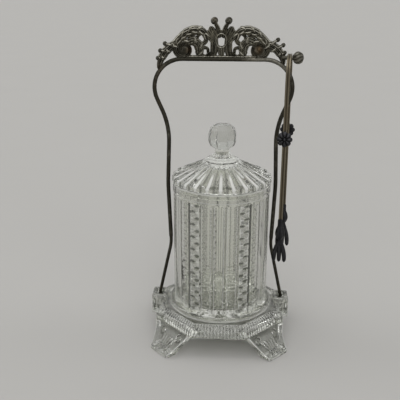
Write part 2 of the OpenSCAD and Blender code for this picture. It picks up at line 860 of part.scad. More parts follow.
// Three round-tipped prongs that fork from one stem and then hang side by side
module prongs() {
    tip = prong_len - prong_r;
    for (side = [-1, 0, 1]) {
        spread = side * prong_spread;
        path = concat(
            guide_path([[0, 0], [0.3 * spread, -0.3 * tip], [1.1 * spread, -0.5 * tip], [spread, -tip]], 9),
            [[spread, -tip - 0.7 * prong_r], [spread, -prong_len]]
        );
        radii = [for (i = [0 : len(path) - 1]) prong_r * (i < 10 ? 1 : i == 10 ? 0.72 : 0.2)];
        loft(path, radii, radii, band_sides);
    }
}

module front_tong_arm() {
    tong_arm(false);
}

module rear_tong_arm() {
    tong_arm(true);
}

module front_tong_rosette() {
    rosette(false);
}

module rear_tong_rosette() {
    rosette(true);
}

module front_tong_claw() {
    claw(false);
}

module rear_tong_claw() {
    claw(true);
}

glass_base();
glass_jar();
glass_lid();
bail_arch();
left_lower_leg();
right_lower_leg();
crest();
tong_hook();
tong_bow();
front_tong_arm();
rear_tong_arm();
front_tong_rosette();
rear_tong_rosette();
front_tong_claw();
rear_tong_claw();
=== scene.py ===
"""Pickle castor: fluted pressed glass on a footed stand, a tarnished wire bail with a cast crest, and spring tongs.

Sizes in the classes are millimetres and Blender's are metres. Z points up, the feet stand on Z = 0, the front faces -Y.
"""
import logging
import math
from collections.abc import Callable, Sequence
from dataclasses import dataclass
from enum import Enum
from functools import cache

import bpy
import numpy as np
from mathutils import Matrix, Vector


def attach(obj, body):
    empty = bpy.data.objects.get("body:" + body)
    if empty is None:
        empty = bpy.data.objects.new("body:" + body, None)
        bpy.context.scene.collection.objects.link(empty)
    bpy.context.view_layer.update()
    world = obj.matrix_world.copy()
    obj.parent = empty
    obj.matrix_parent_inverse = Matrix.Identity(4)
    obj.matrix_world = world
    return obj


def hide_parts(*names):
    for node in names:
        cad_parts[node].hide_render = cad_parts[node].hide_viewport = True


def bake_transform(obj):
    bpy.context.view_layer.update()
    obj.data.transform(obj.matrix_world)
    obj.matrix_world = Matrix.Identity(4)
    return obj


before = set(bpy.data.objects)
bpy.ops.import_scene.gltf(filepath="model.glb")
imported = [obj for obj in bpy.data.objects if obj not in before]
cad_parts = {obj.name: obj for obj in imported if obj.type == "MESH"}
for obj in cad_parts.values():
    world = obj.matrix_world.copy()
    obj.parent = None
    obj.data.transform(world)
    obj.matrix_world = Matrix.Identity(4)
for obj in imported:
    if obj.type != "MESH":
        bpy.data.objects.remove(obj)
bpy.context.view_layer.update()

MM = 0.001
TAU = 2.0 * math.pi
PLAIN = 0.75  # relief of clear glass
LOG = logging.getLogger("pickle_castor")
Array = np.ndarray
Colour = tuple[float, float, float]
Place = tuple[float, float, float]
Widths = tuple[float, float, float]
Point = tuple[float, float]
Points = tuple[Point, ...]


class Side(Enum):
    """Which half of a mirrored pair a piece is, as the sign of its X or Y."""

    NEGATIVE = -1
    POSITIVE = 1

    @property
    def arm(self) -> str:
        """The tongs' arm on this side of Y."""
        return "front" if self is Side.NEGATIVE else "rear"


class Column(Enum):
    """The five kinds of upright column pressed into the jar's wall."""

    FLUTE = 0
    LADDER = 1
    ZIPPER = 2
    BEADED = 3
    LAND = 4


class Fuse(Enum):
    """How one closed solid is worked into another."""

    JOIN = "UNION"
    CUT = "DIFFERENCE"


def ease(x: Array, start: float, end: float) -> Array:
    """Smooth step of x: 0 before start, 1 after end and 3t^2 - 2t^3 between."""
    t = np.clip((x - start) / (end - start), 0.0, 1.0)
    return t * t * (3.0 - 2.0 * t)


def notch(t: Array, centre: float, half: float) -> Array:
    """V of period 1 in t: 1 at the centre, falling straight to 0 at half a width either side."""
    return np.clip(1.0 - np.abs((t - centre + 0.5) % 1.0 - 0.5) / half, 0.0, 1.0)


def line(start: Sequence[float], end: Sequence[float], count: int) -> Array:
    """Straight run of profile points from start to end, both included."""
    return np.linspace(start, end, count)


def arc(centre: Sequence[float], radius: float, from_deg: float, to_deg: float, count: int) -> Array:
    """Profile points on a circle: centre + radius * (cos a, sin a), with a going evenly between two angles."""
    a = np.radians(np.linspace(from_deg, to_deg, count))
    return np.asarray(centre, float) + radius * np.stack([np.cos(a), np.sin(a)], axis=1)


def guide_curve(guides: Sequence[Sequence[float]] | Array, count: int = 60) -> Array:
    """Cubic curve from four guide points: s^3 a + 3 s^2 t b + 3 s t^2 c + t^3 d, where s = 1 - t.

    Args:
        guides: Four points; the curve starts on the first and ends on the last.
        count: Number of points on the curve.

    Returns:
        Points along the curve.
    """
    a, b, c, d = np.asarray(guides, float)
    t = np.linspace(0.0, 1.0, count)[:, None]
    s = 1.0 - t
    return s**3 * a + 3 * s * s * t * b + 3 * s * t * t * c + t**3 * d


def scroll_curve(
    centre: Sequence[float], first: Sequence[float], last: Sequence[float], from_deg: float, to_deg: float
) -> Array:
    """Elliptic spiral: the two radii run evenly from first to last while the angle runs between its ends.

    Args:
        centre: Eye of the spiral.
        first: Radii along both axes at the start.
        last: Radii along both axes at the end.
        from_deg: Angle at the start.
        to_deg: Angle at the end.

    Returns:
        Points along the spiral.
    """
    t = np.linspace(0.0, 1.0, 160)[:, None]
    a = np.radians(from_deg + (to_deg - from_deg) * t)
    radii = np.asarray(first, float) * (1.0 - t) + np.asarray(last, float) * t
    return np.asarray(centre, float) + radii * np.hstack([np.cos(a), np.sin(a)])


def bent_wire(corners: Sequence[Point], bends: Sequence[float], count: int = 16) -> Array:
    """Centre line of a wire: straight runs between corners, with a circular bend tangent to both at each inner corner.

    Args:
        corners: Corner points in the drawing plane.
        bends: Bend radius at each inner corner.
        count: Points on each bend.

    Returns:
        Points along the wire.
    """
    points = np.asarray(corners, float)
    runs = [points[:1]]
    for before, corner, after, bend in zip(points[:-2], points[1:-1], points[2:], bends):
        into = (corner - before) / np.linalg.norm(corner - before)
        out = (after - corner) / np.linalg.norm(after - corner)
        turn = math.atan2(into[0] * out[1] - into[1] * out[0], float(into @ out))
        inward = math.copysign(1.0, turn) * np.array([-into[1], into[0]])
        centre = corner - into * bend * math.tan(abs(turn) / 2) + inward * bend
        a = np.linspace(0.0, turn, count)[:, None]
        runs.append(centre + bend * (-inward * np.cos(a) + np.array([inward[1], -inward[0]]) * np.sin(a)))
    return np.concatenate([*runs, points[-1:]])


def run_along(path: Array) -> Array:
    """Running length along a path, 0 at its first point."""
    return np.concatenate([[0.0], np.cumsum(np.linalg.norm(np.diff(path, axis=0), axis=1))])


def spaced(path: Array, gap: float) -> Array:
    """Points evenly spaced along a path, read off over its running length.

    Args:
        path: Points along the path.
        gap: Spacing to come near to.

    Returns:
        Evenly spaced points, with the path's own ends.
    """
    run = run_along(path)
    at = np.linspace(0.0, run[-1], max(8, int(run[-1] / gap) + 1))
    return np.stack([np.interp(at, run, path[:, k]) for k in range(path.shape[1])], axis=1)


def blunt(path: Array, start: float, end: float) -> Array:
    """Scale that rounds off a swept piece's ends: a quarter circle over the given reach at each end, 1 between.

    Args:
        path: Points along the piece.
        start: Reach of the rounding at the first point, 0 for a square end.
        end: Reach of the rounding at the last point, 0 for a square end.

    Returns:
        Scale at each point of the path.
    """
    run = run_along(path)
    near = np.clip(run / start, 0.02, 1.0) if start else np.ones_like(run)
    far = np.clip((run[-1] - run) / end, 0.02, 1.0) if end else np.ones_like(run)
    return np.sqrt(1.0 - (1.0 - near) ** 2) * np.sqrt(1.0 - (1.0 - far) ** 2)


def carried(path: Array, across: Array, depth: Array) -> Array:
    """Profile carried along a path in the XZ plane: path + normal * across in the plane, and depth along Y.

    Args:
        path: Points (x, z) along the path.
        across: Offsets in the plane, one row for each path point.
        depth: Offsets along Y, one row for each path point.

    Returns:
        Grid of points, path by section.
    """
    along = np.gradient(path, axis=0)
    along /= np.linalg.norm(along, axis=1, keepdims=True)
    return grid(path[:, :1] - along[:, 1:] * across, depth, path[:, 1:] + along[:, :1] * across)


def grid(x: Array, y: Array, z: Array) -> Array:
    """Points on the grid that three coordinates span together."""
    return np.stack(np.broadcast_arrays(x, y, z), axis=-1)


def turned(radius: Array, height: Array, angle: Array) -> Array:
    """Surface about the Z axis: (r cos a, r sin a, h), with r and h free to vary round the axis."""
    return grid(radius * np.cos(angle), radius * np.sin(angle), height)


def around(count: int) -> Array:
    """Angles spaced evenly round a ring, as one row."""
    return np.linspace(0.0, TAU, count + 1)[None, :-1]


def profile(parts: Sequence[Array]) -> tuple[Array, Array]:
    """Radius and height of all points of a profile, as two columns."""
    points = np.concatenate(parts)
    return points[:, :1], points[:, 1:]


def by_part(values: Sequence[float], parts: Sequence[Array]) -> Array:
    """One value for each part of a profile, repeated for that part's points, as a column."""
    return np.repeat(values, [len(part) for part in parts])[:, None]


def octagon(angle: Array) -> Array:
    """Reach of an octagon with half-flats 1: 1 / cos of the angle from the nearest side's middle."""
    return 1.0 / np.cos((angle + math.pi / 8) % (math.pi / 4) - math.pi / 8)


def ring_angles(parts: int, samples: int, front: float = 0.0) -> Array:
    """Angles round the axis, samples to a part, with the middle of part 0 at the front angle."""
    return front + (np.arange(parts * samples) / samples - 0.5) * TAU / parts


def placed(points: Array, matrix: Array) -> Array:
    """Points moved by a 4 x 4 placing matrix."""
    return points @ matrix[:3, :3].T + matrix[:3, 3]


def turn_matrix(axis: str, degrees: float) -> Array:
    """4 x 4 matrix of a turn about one axis."""
    return np.array(Matrix.Rotation(math.radians(degrees), 4, axis))


def shift_matrix(x: float, y: float, z: float) -> Array:
    """4 x 4 matrix of a shift."""
    return np.array(Matrix.Translation((x, y, z)))


class Shell:
    """Closed skins of points, gathered into one mesh."""

    def __init__(self) -> None:
        """Start with no skins."""
        self._points: list[Array] = []
        self._relief: list[Array] = []
        self._quads: list[Array] = []
        self._fans: list[Array] = []
        self._count = 0

    def skin(self, points: Array, relief: Array | float = 0.5) -> None:
        """Add a tube of points whose ends are closed with fans, turned outwards by the sign of its volume.

        Args:
            points: Grid of points, rows by ring; the ring closes on itself.
            relief: How far each point stands up from the hollows, 0 to 1, for the finish; on glass it also sets painted
                shade and painted highlights.
        """
        rows, ring = points.shape[:2]
        index = np.arange(rows * ring).reshape(rows, ring)
        after = np.roll(index, -1, axis=1)
        quads = np.stack([index[:-1], after[:-1], after[1:], index[1:]], axis=-1).reshape(-1, 4)
        pole = np.full(ring, rows * ring)
        fans = np.concatenate(
            [np.stack([after[0], index[0], pole], axis=-1), np.stack([index[-1], after[-1], pole + 1], axis=-1)]
        )
        vertices = np.concatenate([points.reshape(-1, 3), points[[0, -1]].mean(axis=1)])
        triangles = vertices[np.concatenate([quads[:, :3], quads[:, [0, 2, 3]], fans])]
        if np.einsum("ij,ij->i", triangles[:, 0], np.cross(triangles[:, 1], triangles[:, 2])).sum() < 0:
            quads, fans = quads[:, ::-1], fans[:, ::-1]
        height = np.broadcast_to(relief, (rows, ring))
        self._points.append(vertices)
        self._relief.append(np.concatenate([height.reshape(-1), height[[0, -1]].mean(axis=1)]))
        self._quads.append(quads + self._count)
        self._fans.append(fans + self._count)
        self._count += len(vertices)

    def build(self, name: str, crease: float = 40.0) -> bpy.types.Object:
        """Make the mesh object, smooth except across edges sharper than the crease.

        Args:
            name: The piece's name.
            crease: Angle in degrees above which an edge stays sharp.

        Returns:
            The new object, at the origin with its place in its mesh.
        """
        quads, fans = np.concatenate(self._quads), np.concatenate(self._fans)
        corners = np.concatenate([quads.ravel(), fans.ravel()]).astype(np.int32)
        sizes = np.repeat([4, 3], [len(quads), len(fans)])
        mesh = bpy.data.meshes.new(name)
        mesh.vertices.add(self._count)
        mesh.vertices.foreach_set("co", (np.concatenate(self._points) * MM).astype(np.float32).ravel())
        mesh.loops.add(len(corners))
        mesh.loops.foreach_set("vertex_index", corners)
        mesh.polygons.add(len(sizes))
        mesh.polygons.foreach_set("loop_start", (np.cumsum(sizes) - sizes).astype(np.int32))
        mesh.update(calc_edges=True)
        mesh.attributes.new("relief", "FLOAT", "POINT").data.foreach_set(
            "value", np.concatenate(self._relief).astype(np.float32)
        )
        soften(mesh, crease)
        piece = bpy.data.objects.new(name, mesh)
        bpy.context.scene.collection.objects.link(piece)
        return piece


def soften(mesh: bpy.types.Mesh, crease: float) -> None:
    """Shade a mesh smooth, keeping edges sharper than the crease angle."""
    mesh.shade_smooth()
    mesh.set_sharp_from_angle(angle=math.radians(crease))


def skinned(name: str, points: Array, relief: Array | float = 0.5, crease: float = 40.0) -> bpy.types.Object:
    """Make a piece of a single skin.

    Args:
        name: The piece's name.
        points: Grid of points, rows by ring.
        relief: How far each point stands up from the hollows, 0 to 1; on glass it also sets painted shade and painted
            highlights.
        crease: Angle in degrees above which an edge stays sharp.

    Returns:
        The new object.
    """
    shell = Shell()
    shell.skin(points, relief)
    return shell.build(name, crease)


def fuse(body: bpy.types.Object, steps: Sequence[tuple[Fuse, bpy.types.Object]], crease: float) -> None:
    """Work closed solids into a body one after another, so that the glass is a single skin.

    Args:
        body: The solid that keeps its name and takes the result.
        steps: Each step's kind and the solid it uses up.
        crease: Angle in degrees above which an edge stays sharp.
    """
    for kind, tool in steps:
        worked = body.modifiers.new(tool.name, "BOOLEAN")
        worked.operation = kind.value
        worked.solver = "MANIFOLD"
        worked.object = tool
    whole = body.evaluated_get(bpy.context.evaluated_depsgraph_get())
    mesh = bpy.data.meshes.new_from_object(whole)
    body.modifiers.clear()
    body.data = mesh
    for _, tool in steps:
        bpy.data.objects.remove(tool)
    soften(mesh, crease)


def math_operator(operation: str, swapped: bool = False) -> Callable[["Sock", "Sock | float"], "Sock"]:
    """Make an operator of Sock that adds a Math node.

    Args:
        operation: The Math node's operation.
        swapped: Whether the other value comes first.

    Returns:
        The operator's method.
    """

    def joined(own: "Sock", other: "Sock | float") -> "Sock":
        """The Math node's output for both values."""
        return own.shade.math(operation, *((other, own) if swapped else (own, other)))

    return joined


class Sock:
    """A node's output that takes part in Python arithmetic, each operation adding a Math node."""

    def __init__(self, shade: "Shade", socket: bpy.types.NodeSocket) -> None:
        """Hold an output socket of a tree."""
        self.shade = shade
        self.socket = socket

    __add__ = __radd__ = math_operator("ADD")
    __mul__ = __rmul__ = math_operator("MULTIPLY")
    __sub__ = math_operator("SUBTRACT")
    __rsub__ = math_operator("SUBTRACT", swapped=True)
    __truediv__ = math_operator("DIVIDE")
    __pow__ = math_operator("POWER")

    def clamped(self) -> "Sock":
        """The value held between 0 and 1."""
        return self.shade.math("MULTIPLY", self, 1.0, clamp=True)


class Shade:
    """A node tree that is written from Python expressions."""

    def __init__(self, tree: bpy.types.NodeTree) -> None:
        """Take over an emptied node tree."""
        self.tree = tree
        tree.nodes.clear()

    def node(
        self, kind: str, settings: dict[str, object] | None = None, inputs: dict[str | int, object] | None = None
    ) -> bpy.types.Node:
        """Make a node: settings first, then values or links of its sockets.

        Args:
            kind: The node's type.
            settings: Attributes of the node.
            inputs: Socket names or numbers with a Sock to link or a value to set.

        Returns:
            The new node.
        """
        made = self.tree.nodes.new(kind)
        for key, value in (settings or {}).items():
            setattr(made, key, value)
        for key, value in (inputs or {}).items():
            if isinstance(value, Sock):
                self.tree.links.new(value.socket, made.inputs[key])
            else:
                made.inputs[key].default_value = value
        return made

    def out(self, node: bpy.types.Node, key: str | int = 0) -> Sock:
        """An output of a node, ready for arithmetic."""
        return Sock(self, node.outputs[key])

    def math(self, operation: str, first: Sock | float, second: Sock | float = 0.0, clamp: bool = False) -> Sock:
        """Math node on two values."""
        made = self.node("ShaderNodeMath", {"operation": operation, "use_clamp": clamp}, {0: first, 1: second})
        return self.out(made)

    def mix(self, factor: Sock, first: Sock | Colour, second: Sock | Colour) -> Sock:
        """Colour between two colours.

        Args:
            factor: 0 gives the first colour and 1 the second.
            first: Colour or output.
            second: Colour or output.

        Returns:
            The mixed colour.
        """
        ends = [c if isinstance(c, Sock) else (*c, 1.0) for c in (first, second)]
        made = self.node("ShaderNodeMix", {"data_type": "RGBA"}, {0: factor, 6: ends[0], 7: ends[1]})
        return self.out(made, 2)

    def place(self) -> Sock:
        """Object coordinates."""
        return self.out(self.node("ShaderNodeTexCoord"), "Object")

    def grain(self, size_mm: float, detail: float = 3.0, stretch: Place = (1, 1, 1)) -> Sock:
        """Cloudy noise of about the given grain, 0 to 1 round 0.5.

        Args:
            size_mm: Size of a cloud.
            detail: Octaves of finer clouds.
            stretch: Scale along each axis, below 1 to draw clouds out.

        Returns:
            The noise value.
        """
        spot = self.out(self.node("ShaderNodeMapping", None, {"Vector": self.place(), "Scale": stretch}))
        made = self.node("ShaderNodeTexNoise", None, {"Vector": spot, "Scale": 1000.0 / size_mm, "Detail": detail})
        return self.out(made, 0)

    def relief(self) -> Sock:
        """How far the surface stands up from its hollows, as the mesh was given it; on glass it also carries painted
        shade and highlights.
        """
        return self.out(self.node("ShaderNodeAttribute", {"attribute_name": "relief"}), "Fac")

    def near(self, spot: Place, reach: float) -> Sock:
        """1 at a spot in metres, falling to 0 at the given reach."""
        gap = self.node("ShaderNodeVectorMath", {"operation": "DISTANCE"}, {0: self.place(), 1: spot})
        return (1.0 - self.out(gap, "Value") / reach).clamped()

    def bump(self, height: Sock, depth_mm: float) -> Sock:
        """Normal of a surface raised by a height map."""
        inputs = {"Height": height, "Distance": depth_mm * MM, "Strength": 1.0}
        return self.out(self.node("ShaderNodeBump", None, inputs))

    def blend(self, factor: Sock, first: bpy.types.Node, second: bpy.types.Node) -> bpy.types.Node:
        """Surface between two surfaces, 0 giving the first and 1 the second."""
        return self.node("ShaderNodeMixShader", None, {0: factor.clamped(), 1: self.out(first), 2: self.out(second)})

    def close(self, surface: bpy.types.Node) -> None:
        """Close the tree with a surface."""
        self.node("ShaderNodeOutputMaterial", None, {"Surface": self.out(surface)})

    def surface(self, inputs: dict[str | int, object]) -> None:
        """Close the tree with a principled surface."""
        self.close(self.node("ShaderNodeBsdfPrincipled", None, inputs))


def fresh_material(name: str) -> tuple[bpy.types.Material, Shade]:
    """New material with an empty tree.

    Args:
        name: The material's name.

    Returns:
        The material and its tree.
    """
    made = bpy.data.materials.new(name)
    made.use_nodes = True
    return made, Shade(made.node_tree)


@dataclass(frozen=True)
class PressedGlass:
    """Clear pressed glass: a grey-green cast and the mould's ripple, painted shade in the furrows and painted
    highlights on the crests.

    The mesh's relief is 0 at the bottom of a furrow, PLAIN on clear glass and 1 on a crest; a diffuse skin blended over
    the glass by it is painted shade in the furrows and a painted highlight on the crests.
    """

    name: str = "pressed_glass"
    slot: str = "clear_glass"
    cast: Colour = (0.885, 0.897, 0.842)
    thin: Colour = (0.945, 0.952, 0.918)
    # painted shade: the diffuse skin's colour at the bottom of a furrow
    grime: Colour = (0.06, 0.062, 0.052)
    # painted highlight: the diffuse skin's colour on a crest
    rubbed: Colour = (0.9, 0.9, 0.875)
    grime_share: float = 0.72
    rubbed_share: float = 0.62
    margin: float = 0.05
    full_crest: float = 0.95
    ripple_mm: float = 0.03
    index: float = 1.5

    @cache
    def material(self) -> bpy.types.Material:
        """Make the finish once.

        Returns:
            The material, the same one at each call.
        """
        made, shade = fresh_material(self.name)
        clouds, ripple, dust = shade.grain(24.0, 2.0), shade.grain(5.0, 1.0), shade.grain(1.2, 2.0)
        relief = shade.relief()
        furrow = (1.0 - relief / (PLAIN - self.margin)).clamped()
        crest = ((relief - PLAIN - self.margin) / (self.full_crest - PLAIN)).clamped()
        clear = shade.node(
            "ShaderNodeBsdfPrincipled",
            None,
            {
                "Base Color": shade.mix(clouds, self.cast, self.thin),
                "Roughness": 0.008 + 0.05 * ((dust - 0.55) * 3.0).clamped() + 0.1 * furrow,
                "Normal": shade.bump(ripple, self.ripple_mm),
                "Transmission Weight": 1.0,
                "IOR": self.index,
            },
        )
        # diffuse skin over the clear glass: painted shade in furrows, painted highlight on crests
        skin = shade.node("ShaderNodeBsdfDiffuse", None, {"Color": shade.mix(crest, self.grime, self.rubbed)})
        shade.close(shade.blend(self.grime_share * furrow + self.rubbed_share * crest, clear, skin))
        return made


@dataclass(frozen=True)
class TarnishedSilver:
    """Old silver plate: nearly black in the hollows, grey on the high points, with brown blooms of tarnish."""

    slot: str = "bail_silver"
    hollow: Colour = (0.05, 0.047, 0.036)
    plate: Colour = (0.5, 0.48, 0.41)
    bloom: Colour = (0.13, 0.09, 0.052)
    bloom_spots: tuple[tuple[Place, float], ...] = (
        ((-0.0242, -0.002, 0.2332), 0.005),
        ((0.0264, -0.002, 0.2337), 0.0045),
    )

    @cache
    def material(self) -> bpy.types.Material:
        """Make the finish once.

        Returns:
            The material, the same one at each call.
        """
        made, shade = fresh_material("tarnished_silver")
        clouds, specks, pits = shade.grain(14.0), shade.grain(2.2), shade.grain(0.7, 2.0)
        worn = (shade.relief() * 0.95 + (clouds - 0.5) * 0.9 + (specks - 0.5) * 0.6 - 0.12).clamped()
        colour = shade.mix(worn**1.4, self.hollow, self.plate)
        left, right = (shade.near(*spot) for spot in self.bloom_spots)
        bloom = (left + right).clamped()
        patches = ((clouds - 0.56) * 5.0).clamped() * 0.3
        brown = ((bloom * 1.1 + patches) * (0.35 + specks)).clamped()
        shade.surface(
            {
                "Base Color": shade.mix(brown, colour, self.bloom),
                "Roughness": 0.5 - 0.24 * worn + 0.12 * pits,
                "Metallic": 1.0,
                "Normal": shade.bump(pits + specks, 0.05),
            }
        )
        return made


@dataclass(frozen=True)
class SpringStrip:
    """Plated spring strip worn to a brownish silver, dark along its middle groove."""

    slot: str = "tong_strip"
    groove: Colour = (0.035, 0.027, 0.018)
    rubbed: Colour = (0.22, 0.192, 0.138)
    stain: Colour = (0.09, 0.062, 0.034)

    @cache
    def material(self) -> bpy.types.Material:
        """Make the finish once.

        Returns:
            The material, the same one at each call.
        """
        made, shade = fresh_material("spring_strip")
        streak, specks = shade.grain(3.0, 3.0, (1, 1, 0.12)), shade.grain(1.0)
        worn = (shade.relief() + (streak - 0.5) * 0.9).clamped()
        stained = ((streak - 0.45) * 3.0).clamped() * (0.4 + 0.6 * specks)
        colour = shade.mix(stained, self.rubbed, self.stain)
        shade.surface(
            {
                "Base Color": shade.mix(worn, self.groove, colour),
                "Roughness": 0.46 - 0.18 * worn + 0.1 * specks,
                "Metallic": 1.0,
                "Normal": shade.bump(streak + specks, 0.03),
            }
        )
        return made


@dataclass(frozen=True)
class BlackenedCasting:
    """Castings tarnished to black, with a soft shine on the rounded tops."""

    slot: str = "tong_casting"
    black: Colour = (0.012, 0.012, 0.013)
    shine: Colour = (0.052, 0.052, 0.056)

    @cache
    def material(self) -> bpy.types.Material:
        """Make the finish once.

        Returns:
            The material, the same one at each call.
        """
        made, shade = fresh_material("blackened_casting")
        clouds, pits = shade.grain(3.0), shade.grain(0.6, 2.0)
        worn = (shade.relief() * 0.9 + (clouds - 0.5) * 0.8).clamped()
        shade.surface(
            {
                "Base Color": shade.mix(worn, self.black, self.shine),
                "Roughness": 0.5 - 0.16 * worn + 0.1 * pits,
                "Metallic": 0.8,
                "Normal": shade.bump(pits, 0.05),
            }
        )
        return made


Finish = PressedGlass | TarnishedSilver | SpringStrip | BlackenedCasting


def dress(piece: bpy.types.Object, finish: Finish) -> bpy.types.Object:
    """Give a piece its finish, tell the record's slot and report it.

    Args:
        piece: The finished piece.
        finish: Its finish.

    Returns:
        The same piece.
    """
    piece.data.materials.clear()
    piece.data.materials.append(finish.material())
    count = len(piece.data.loops) - 2 * len(piece.data.polygons)
    LOG.info("%s: %d triangles, %s", piece.name, count, finish.slot)
    return piece


def stand_for(piece: bpy.types.Object, body: str, *nodes: str) -> None:
    """Let a piece ride on a body and stand for that body's plain solids."""
    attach(piece, body)
    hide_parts(*nodes)


@dataclass
class GlassStand:
    """Octagonal stand: toothed edge, ribbed border, gallery for the jar, four flared feet and two slotted ears."""

    half_flats: float = 51.4
    underside: float = 16.5
    edge_top: float = 21.5
    top: float = 26.5
    border: float = 6.0
    gallery_r: float = 42.1
    gallery_top: float = 29.1
    well_r: float = 39.1
    well_floor: float = 22.5
    ribs: int = 16
    rib_depth: float = 0.9
    toe_reach: float = 67.8
    toe_half: float = 10.3
    toe_h: float = 2.4
    toe_depth: float = 11.0
    foot_splay: float = 24.1
    foot_inset: float = 17.3
    ear_from: float = 45.5
    ear_to: float = 57.4
    ear_half: float = 8.5
    ear_low: float = 14.0
    ear_top: float = 31.0
    slot_from: float = 48.7
    slot_to: float = 53.4
    slot_r: float = 1.75
    slot_deg: float = 38.0
    pivot_z: float = 27.5
    bore_r: float = 1.41
    haze: float = 0.1
    back_lean: float = 15.2
    button_x: float = 9.6
    button_drop: float = 4.4
    fan_root: float = 5.0
    fan_pitch: float = 11.0
    flute_depth: float = 1.5
    button_depth: float = 1.3
    margin_depth: float = 0.6
    ear_corner: float = 1.4
    ear_lip: float = 1.2
    ear_pitch: float = 2.6
    ear_depth: float = 0.85
    thick_cast: Colour = (0.8, 0.815, 0.75)
    thick_thin: Colour = (0.865, 0.875, 0.825)

    def plate(self) -> bpy.types.Object:
        """Plate, as a profile carried round the axis: an octagon outside that passes into circles inside.

        The radius is r * (k / cos(d) + 1 - k), where d is the angle from the side's middle and k runs from 1 on
        the octagonal rows to 0 on the round ones. Ribs cut the edge and the border by
        depth * (1 - |cos(8 pi u)|), where u runs from -1 to 1 along a side. The relief paints shade in the rib valleys
        and highlights on the rib crests, strongest on the diagonal sides, and paints whole profile rows lighter or
        darker.

        Returns:
            The plate's solid.
        """
        samples = 8 * self.ribs
        u = np.tile(np.arange(samples) / samples * 2.0 - 1.0, 8)
        side = np.repeat(np.arange(8) * math.pi / 4, samples)
        angle = side + np.arctan(u * math.tan(math.pi / 8))
        edge, inner, low, high = self.half_flats, self.half_flats - self.border, self.underside, self.edge_top
        top, ring, rim, well, floor = self.top, self.gallery_r, self.gallery_top, self.well_r, self.well_floor
        parts = [
            line((1.0, low), (40.0, low), 5),
            line((46.0, low), (edge - 0.7, low), 3),
            arc((edge - 0.5, low + 0.5), 0.5, -60, 0, 3),
            line((edge, low + 0.9), (edge, high - 0.7), 5),
            arc((edge - 0.6, high - 0.6), 0.6, 10, 50, 3),
            line((edge - 0.7, high + 0.3), (inner + 0.4, top - 0.25), 9),
            line((inner - 0.2, top), (ring + 1.6, top), 4),
            arc((ring + 1.3, top + 1.3), 1.3, 265, 190, 6),
            line((ring, top + 1.35), (ring - 0.05, rim - 1.25), 2),
            arc((ring - 1.2, rim - 1.2), 1.2, 8, 90, 6),
            arc((well + 0.7, rim - 0.7), 0.7, 90, 170, 4),
            line((well, rim - 1.0), (well, floor + 1.0), 4),
            arc((well - 0.8, floor + 0.8), 0.8, -10, -90, 4),
            line((37.0, floor), (1.0, floor), 5),
        ]
        r, z = profile(parts)
        eight = by_part([0.0, *[1.0] * 5, *[0.0] * 8], parts)
        flat = sum(len(part) for part in parts[:6])
        eight[flat : flat + 4, 0] = (1.0, 0.66, 0.33, 0.0)
        ribbed = by_part([0.0, 0.0, 0.5, 1.0, 0.9, 1.0, *[0.0] * 8], parts)
        # painted shade on the edge and gallery rows, painted light on the top rows
        tones = by_part([0.0, 0.0, *[-0.18] * 3, self.haze, self.haze, 0.16, 0.12, -0.2, -0.2, -0.1, 0.0, 0.0], parts)
        wave = 1.0 - np.abs(np.cos(u * math.pi * self.ribs / 2))
        cut = ribbed * wave * self.rib_depth
        octo = eight * octagon(angle) + 1.0 - eight
        sloped = eight * (z > high)
        # painted shading of the ribs: highlight on crests, shade in valleys, strongest on the diagonal sides
        shown = np.maximum(0.1 + 0.8 * np.abs(np.sin(2.0 * side)), 0.3 - 0.3 * sloped) * ribbed
        relief = PLAIN + tones + shown * (0.08 * (1.0 - ease(wave, 0.08, 0.3)) - 0.6 * ease(wave, 0.3, 0.9))
        points = turned((r - cut * (1.0 - 0.5 * sloped)) * octo, z - cut * sloped * 0.7, angle)
        return skinned("glass_base_dressed", points, relief)

    def foot(self, heading: float, lean: Side) -> bpy.types.Object:
        """One foot, as a ring carried down from the plate: outer face, sides and inner face at each height.

        The outer face follows r = root + spread * (1 - s)^1.6 down to the toe's upright lip, where s is the share of
        the height, and its half width widens evenly from the toe, more on the ear's side than on the other. Its
        relief is a round button at each upper corner, a fan of flutes that opens upwards from the toe and a plain
        margin, all cut back from that face. The relief given to the finish paints highlights along the sides and
        between the flutes, and shade in the flutes and the button's groove.

        Args:
            heading: Angle of the foot about the axis, in degrees.
            lean: Which way across the foot its ear lies.

        Returns:
            The foot's solid.
        """
        low, toe = self.underside, self.toe_h
        z = np.concatenate([
            [self.edge_top - 1.5, low + 0.4],
            np.linspace(low - 0.05, toe + 0.15, 46),
            np.linspace(toe - 0.1, 0.35, 5),
            [0.12, 0.0],
        ])[:, None]
        share = np.clip((z - toe) / (low + 1.0 - toe), 0.0, 1.0)
        hidden = z > low
        spread = (self.toe_reach - self.half_flats) * (1.0 - share) ** 1.6
        out = np.where(hidden, self.half_flats - 1.3, self.half_flats + spread)
        out = out - np.where(z < 0.3, 0.3 - z, 0.0)
        rise = np.clip((z - toe) / (low - toe), 0.0, 1.0)
        splay, inset = (self.toe_half + (wide - self.toe_half) * rise for wide in (self.foot_splay, self.foot_inset))
        plus, minus = (splay, inset) if lean is Side.POSITIVE else (inset, splay)
        back = self.toe_reach - self.toe_depth - self.back_lean * np.clip(z / 15.5, 0.0, 1.0)
        u = np.linspace(-1.0, 1.0, 65)[None, :]
        x, drop = u * np.where(u > 0, plus, minus), low - z
        button = np.hypot(np.abs(x) - self.button_x, drop - self.button_drop)
        fan = np.degrees(np.arctan2(x, z + self.fan_root))
        reach = ease(z, 3.4, 4.8) * (1 - ease(z, 10.0, 11.4)) * (1 - ease(np.abs(fan), 30, 36))
        flutes = notch(fan / self.fan_pitch, 0.5, 0.42) * reach
        margin = ease(np.abs(u), 0.93, 0.985) + (1 - ease(z, 2.3, 2.9)) * 0.5
        groove = ease(button, 1.5, 2.1) * (1 - ease(button, 2.6, 3.3)) + 0.6 * (1 - ease(button, 0.2, 1.2))
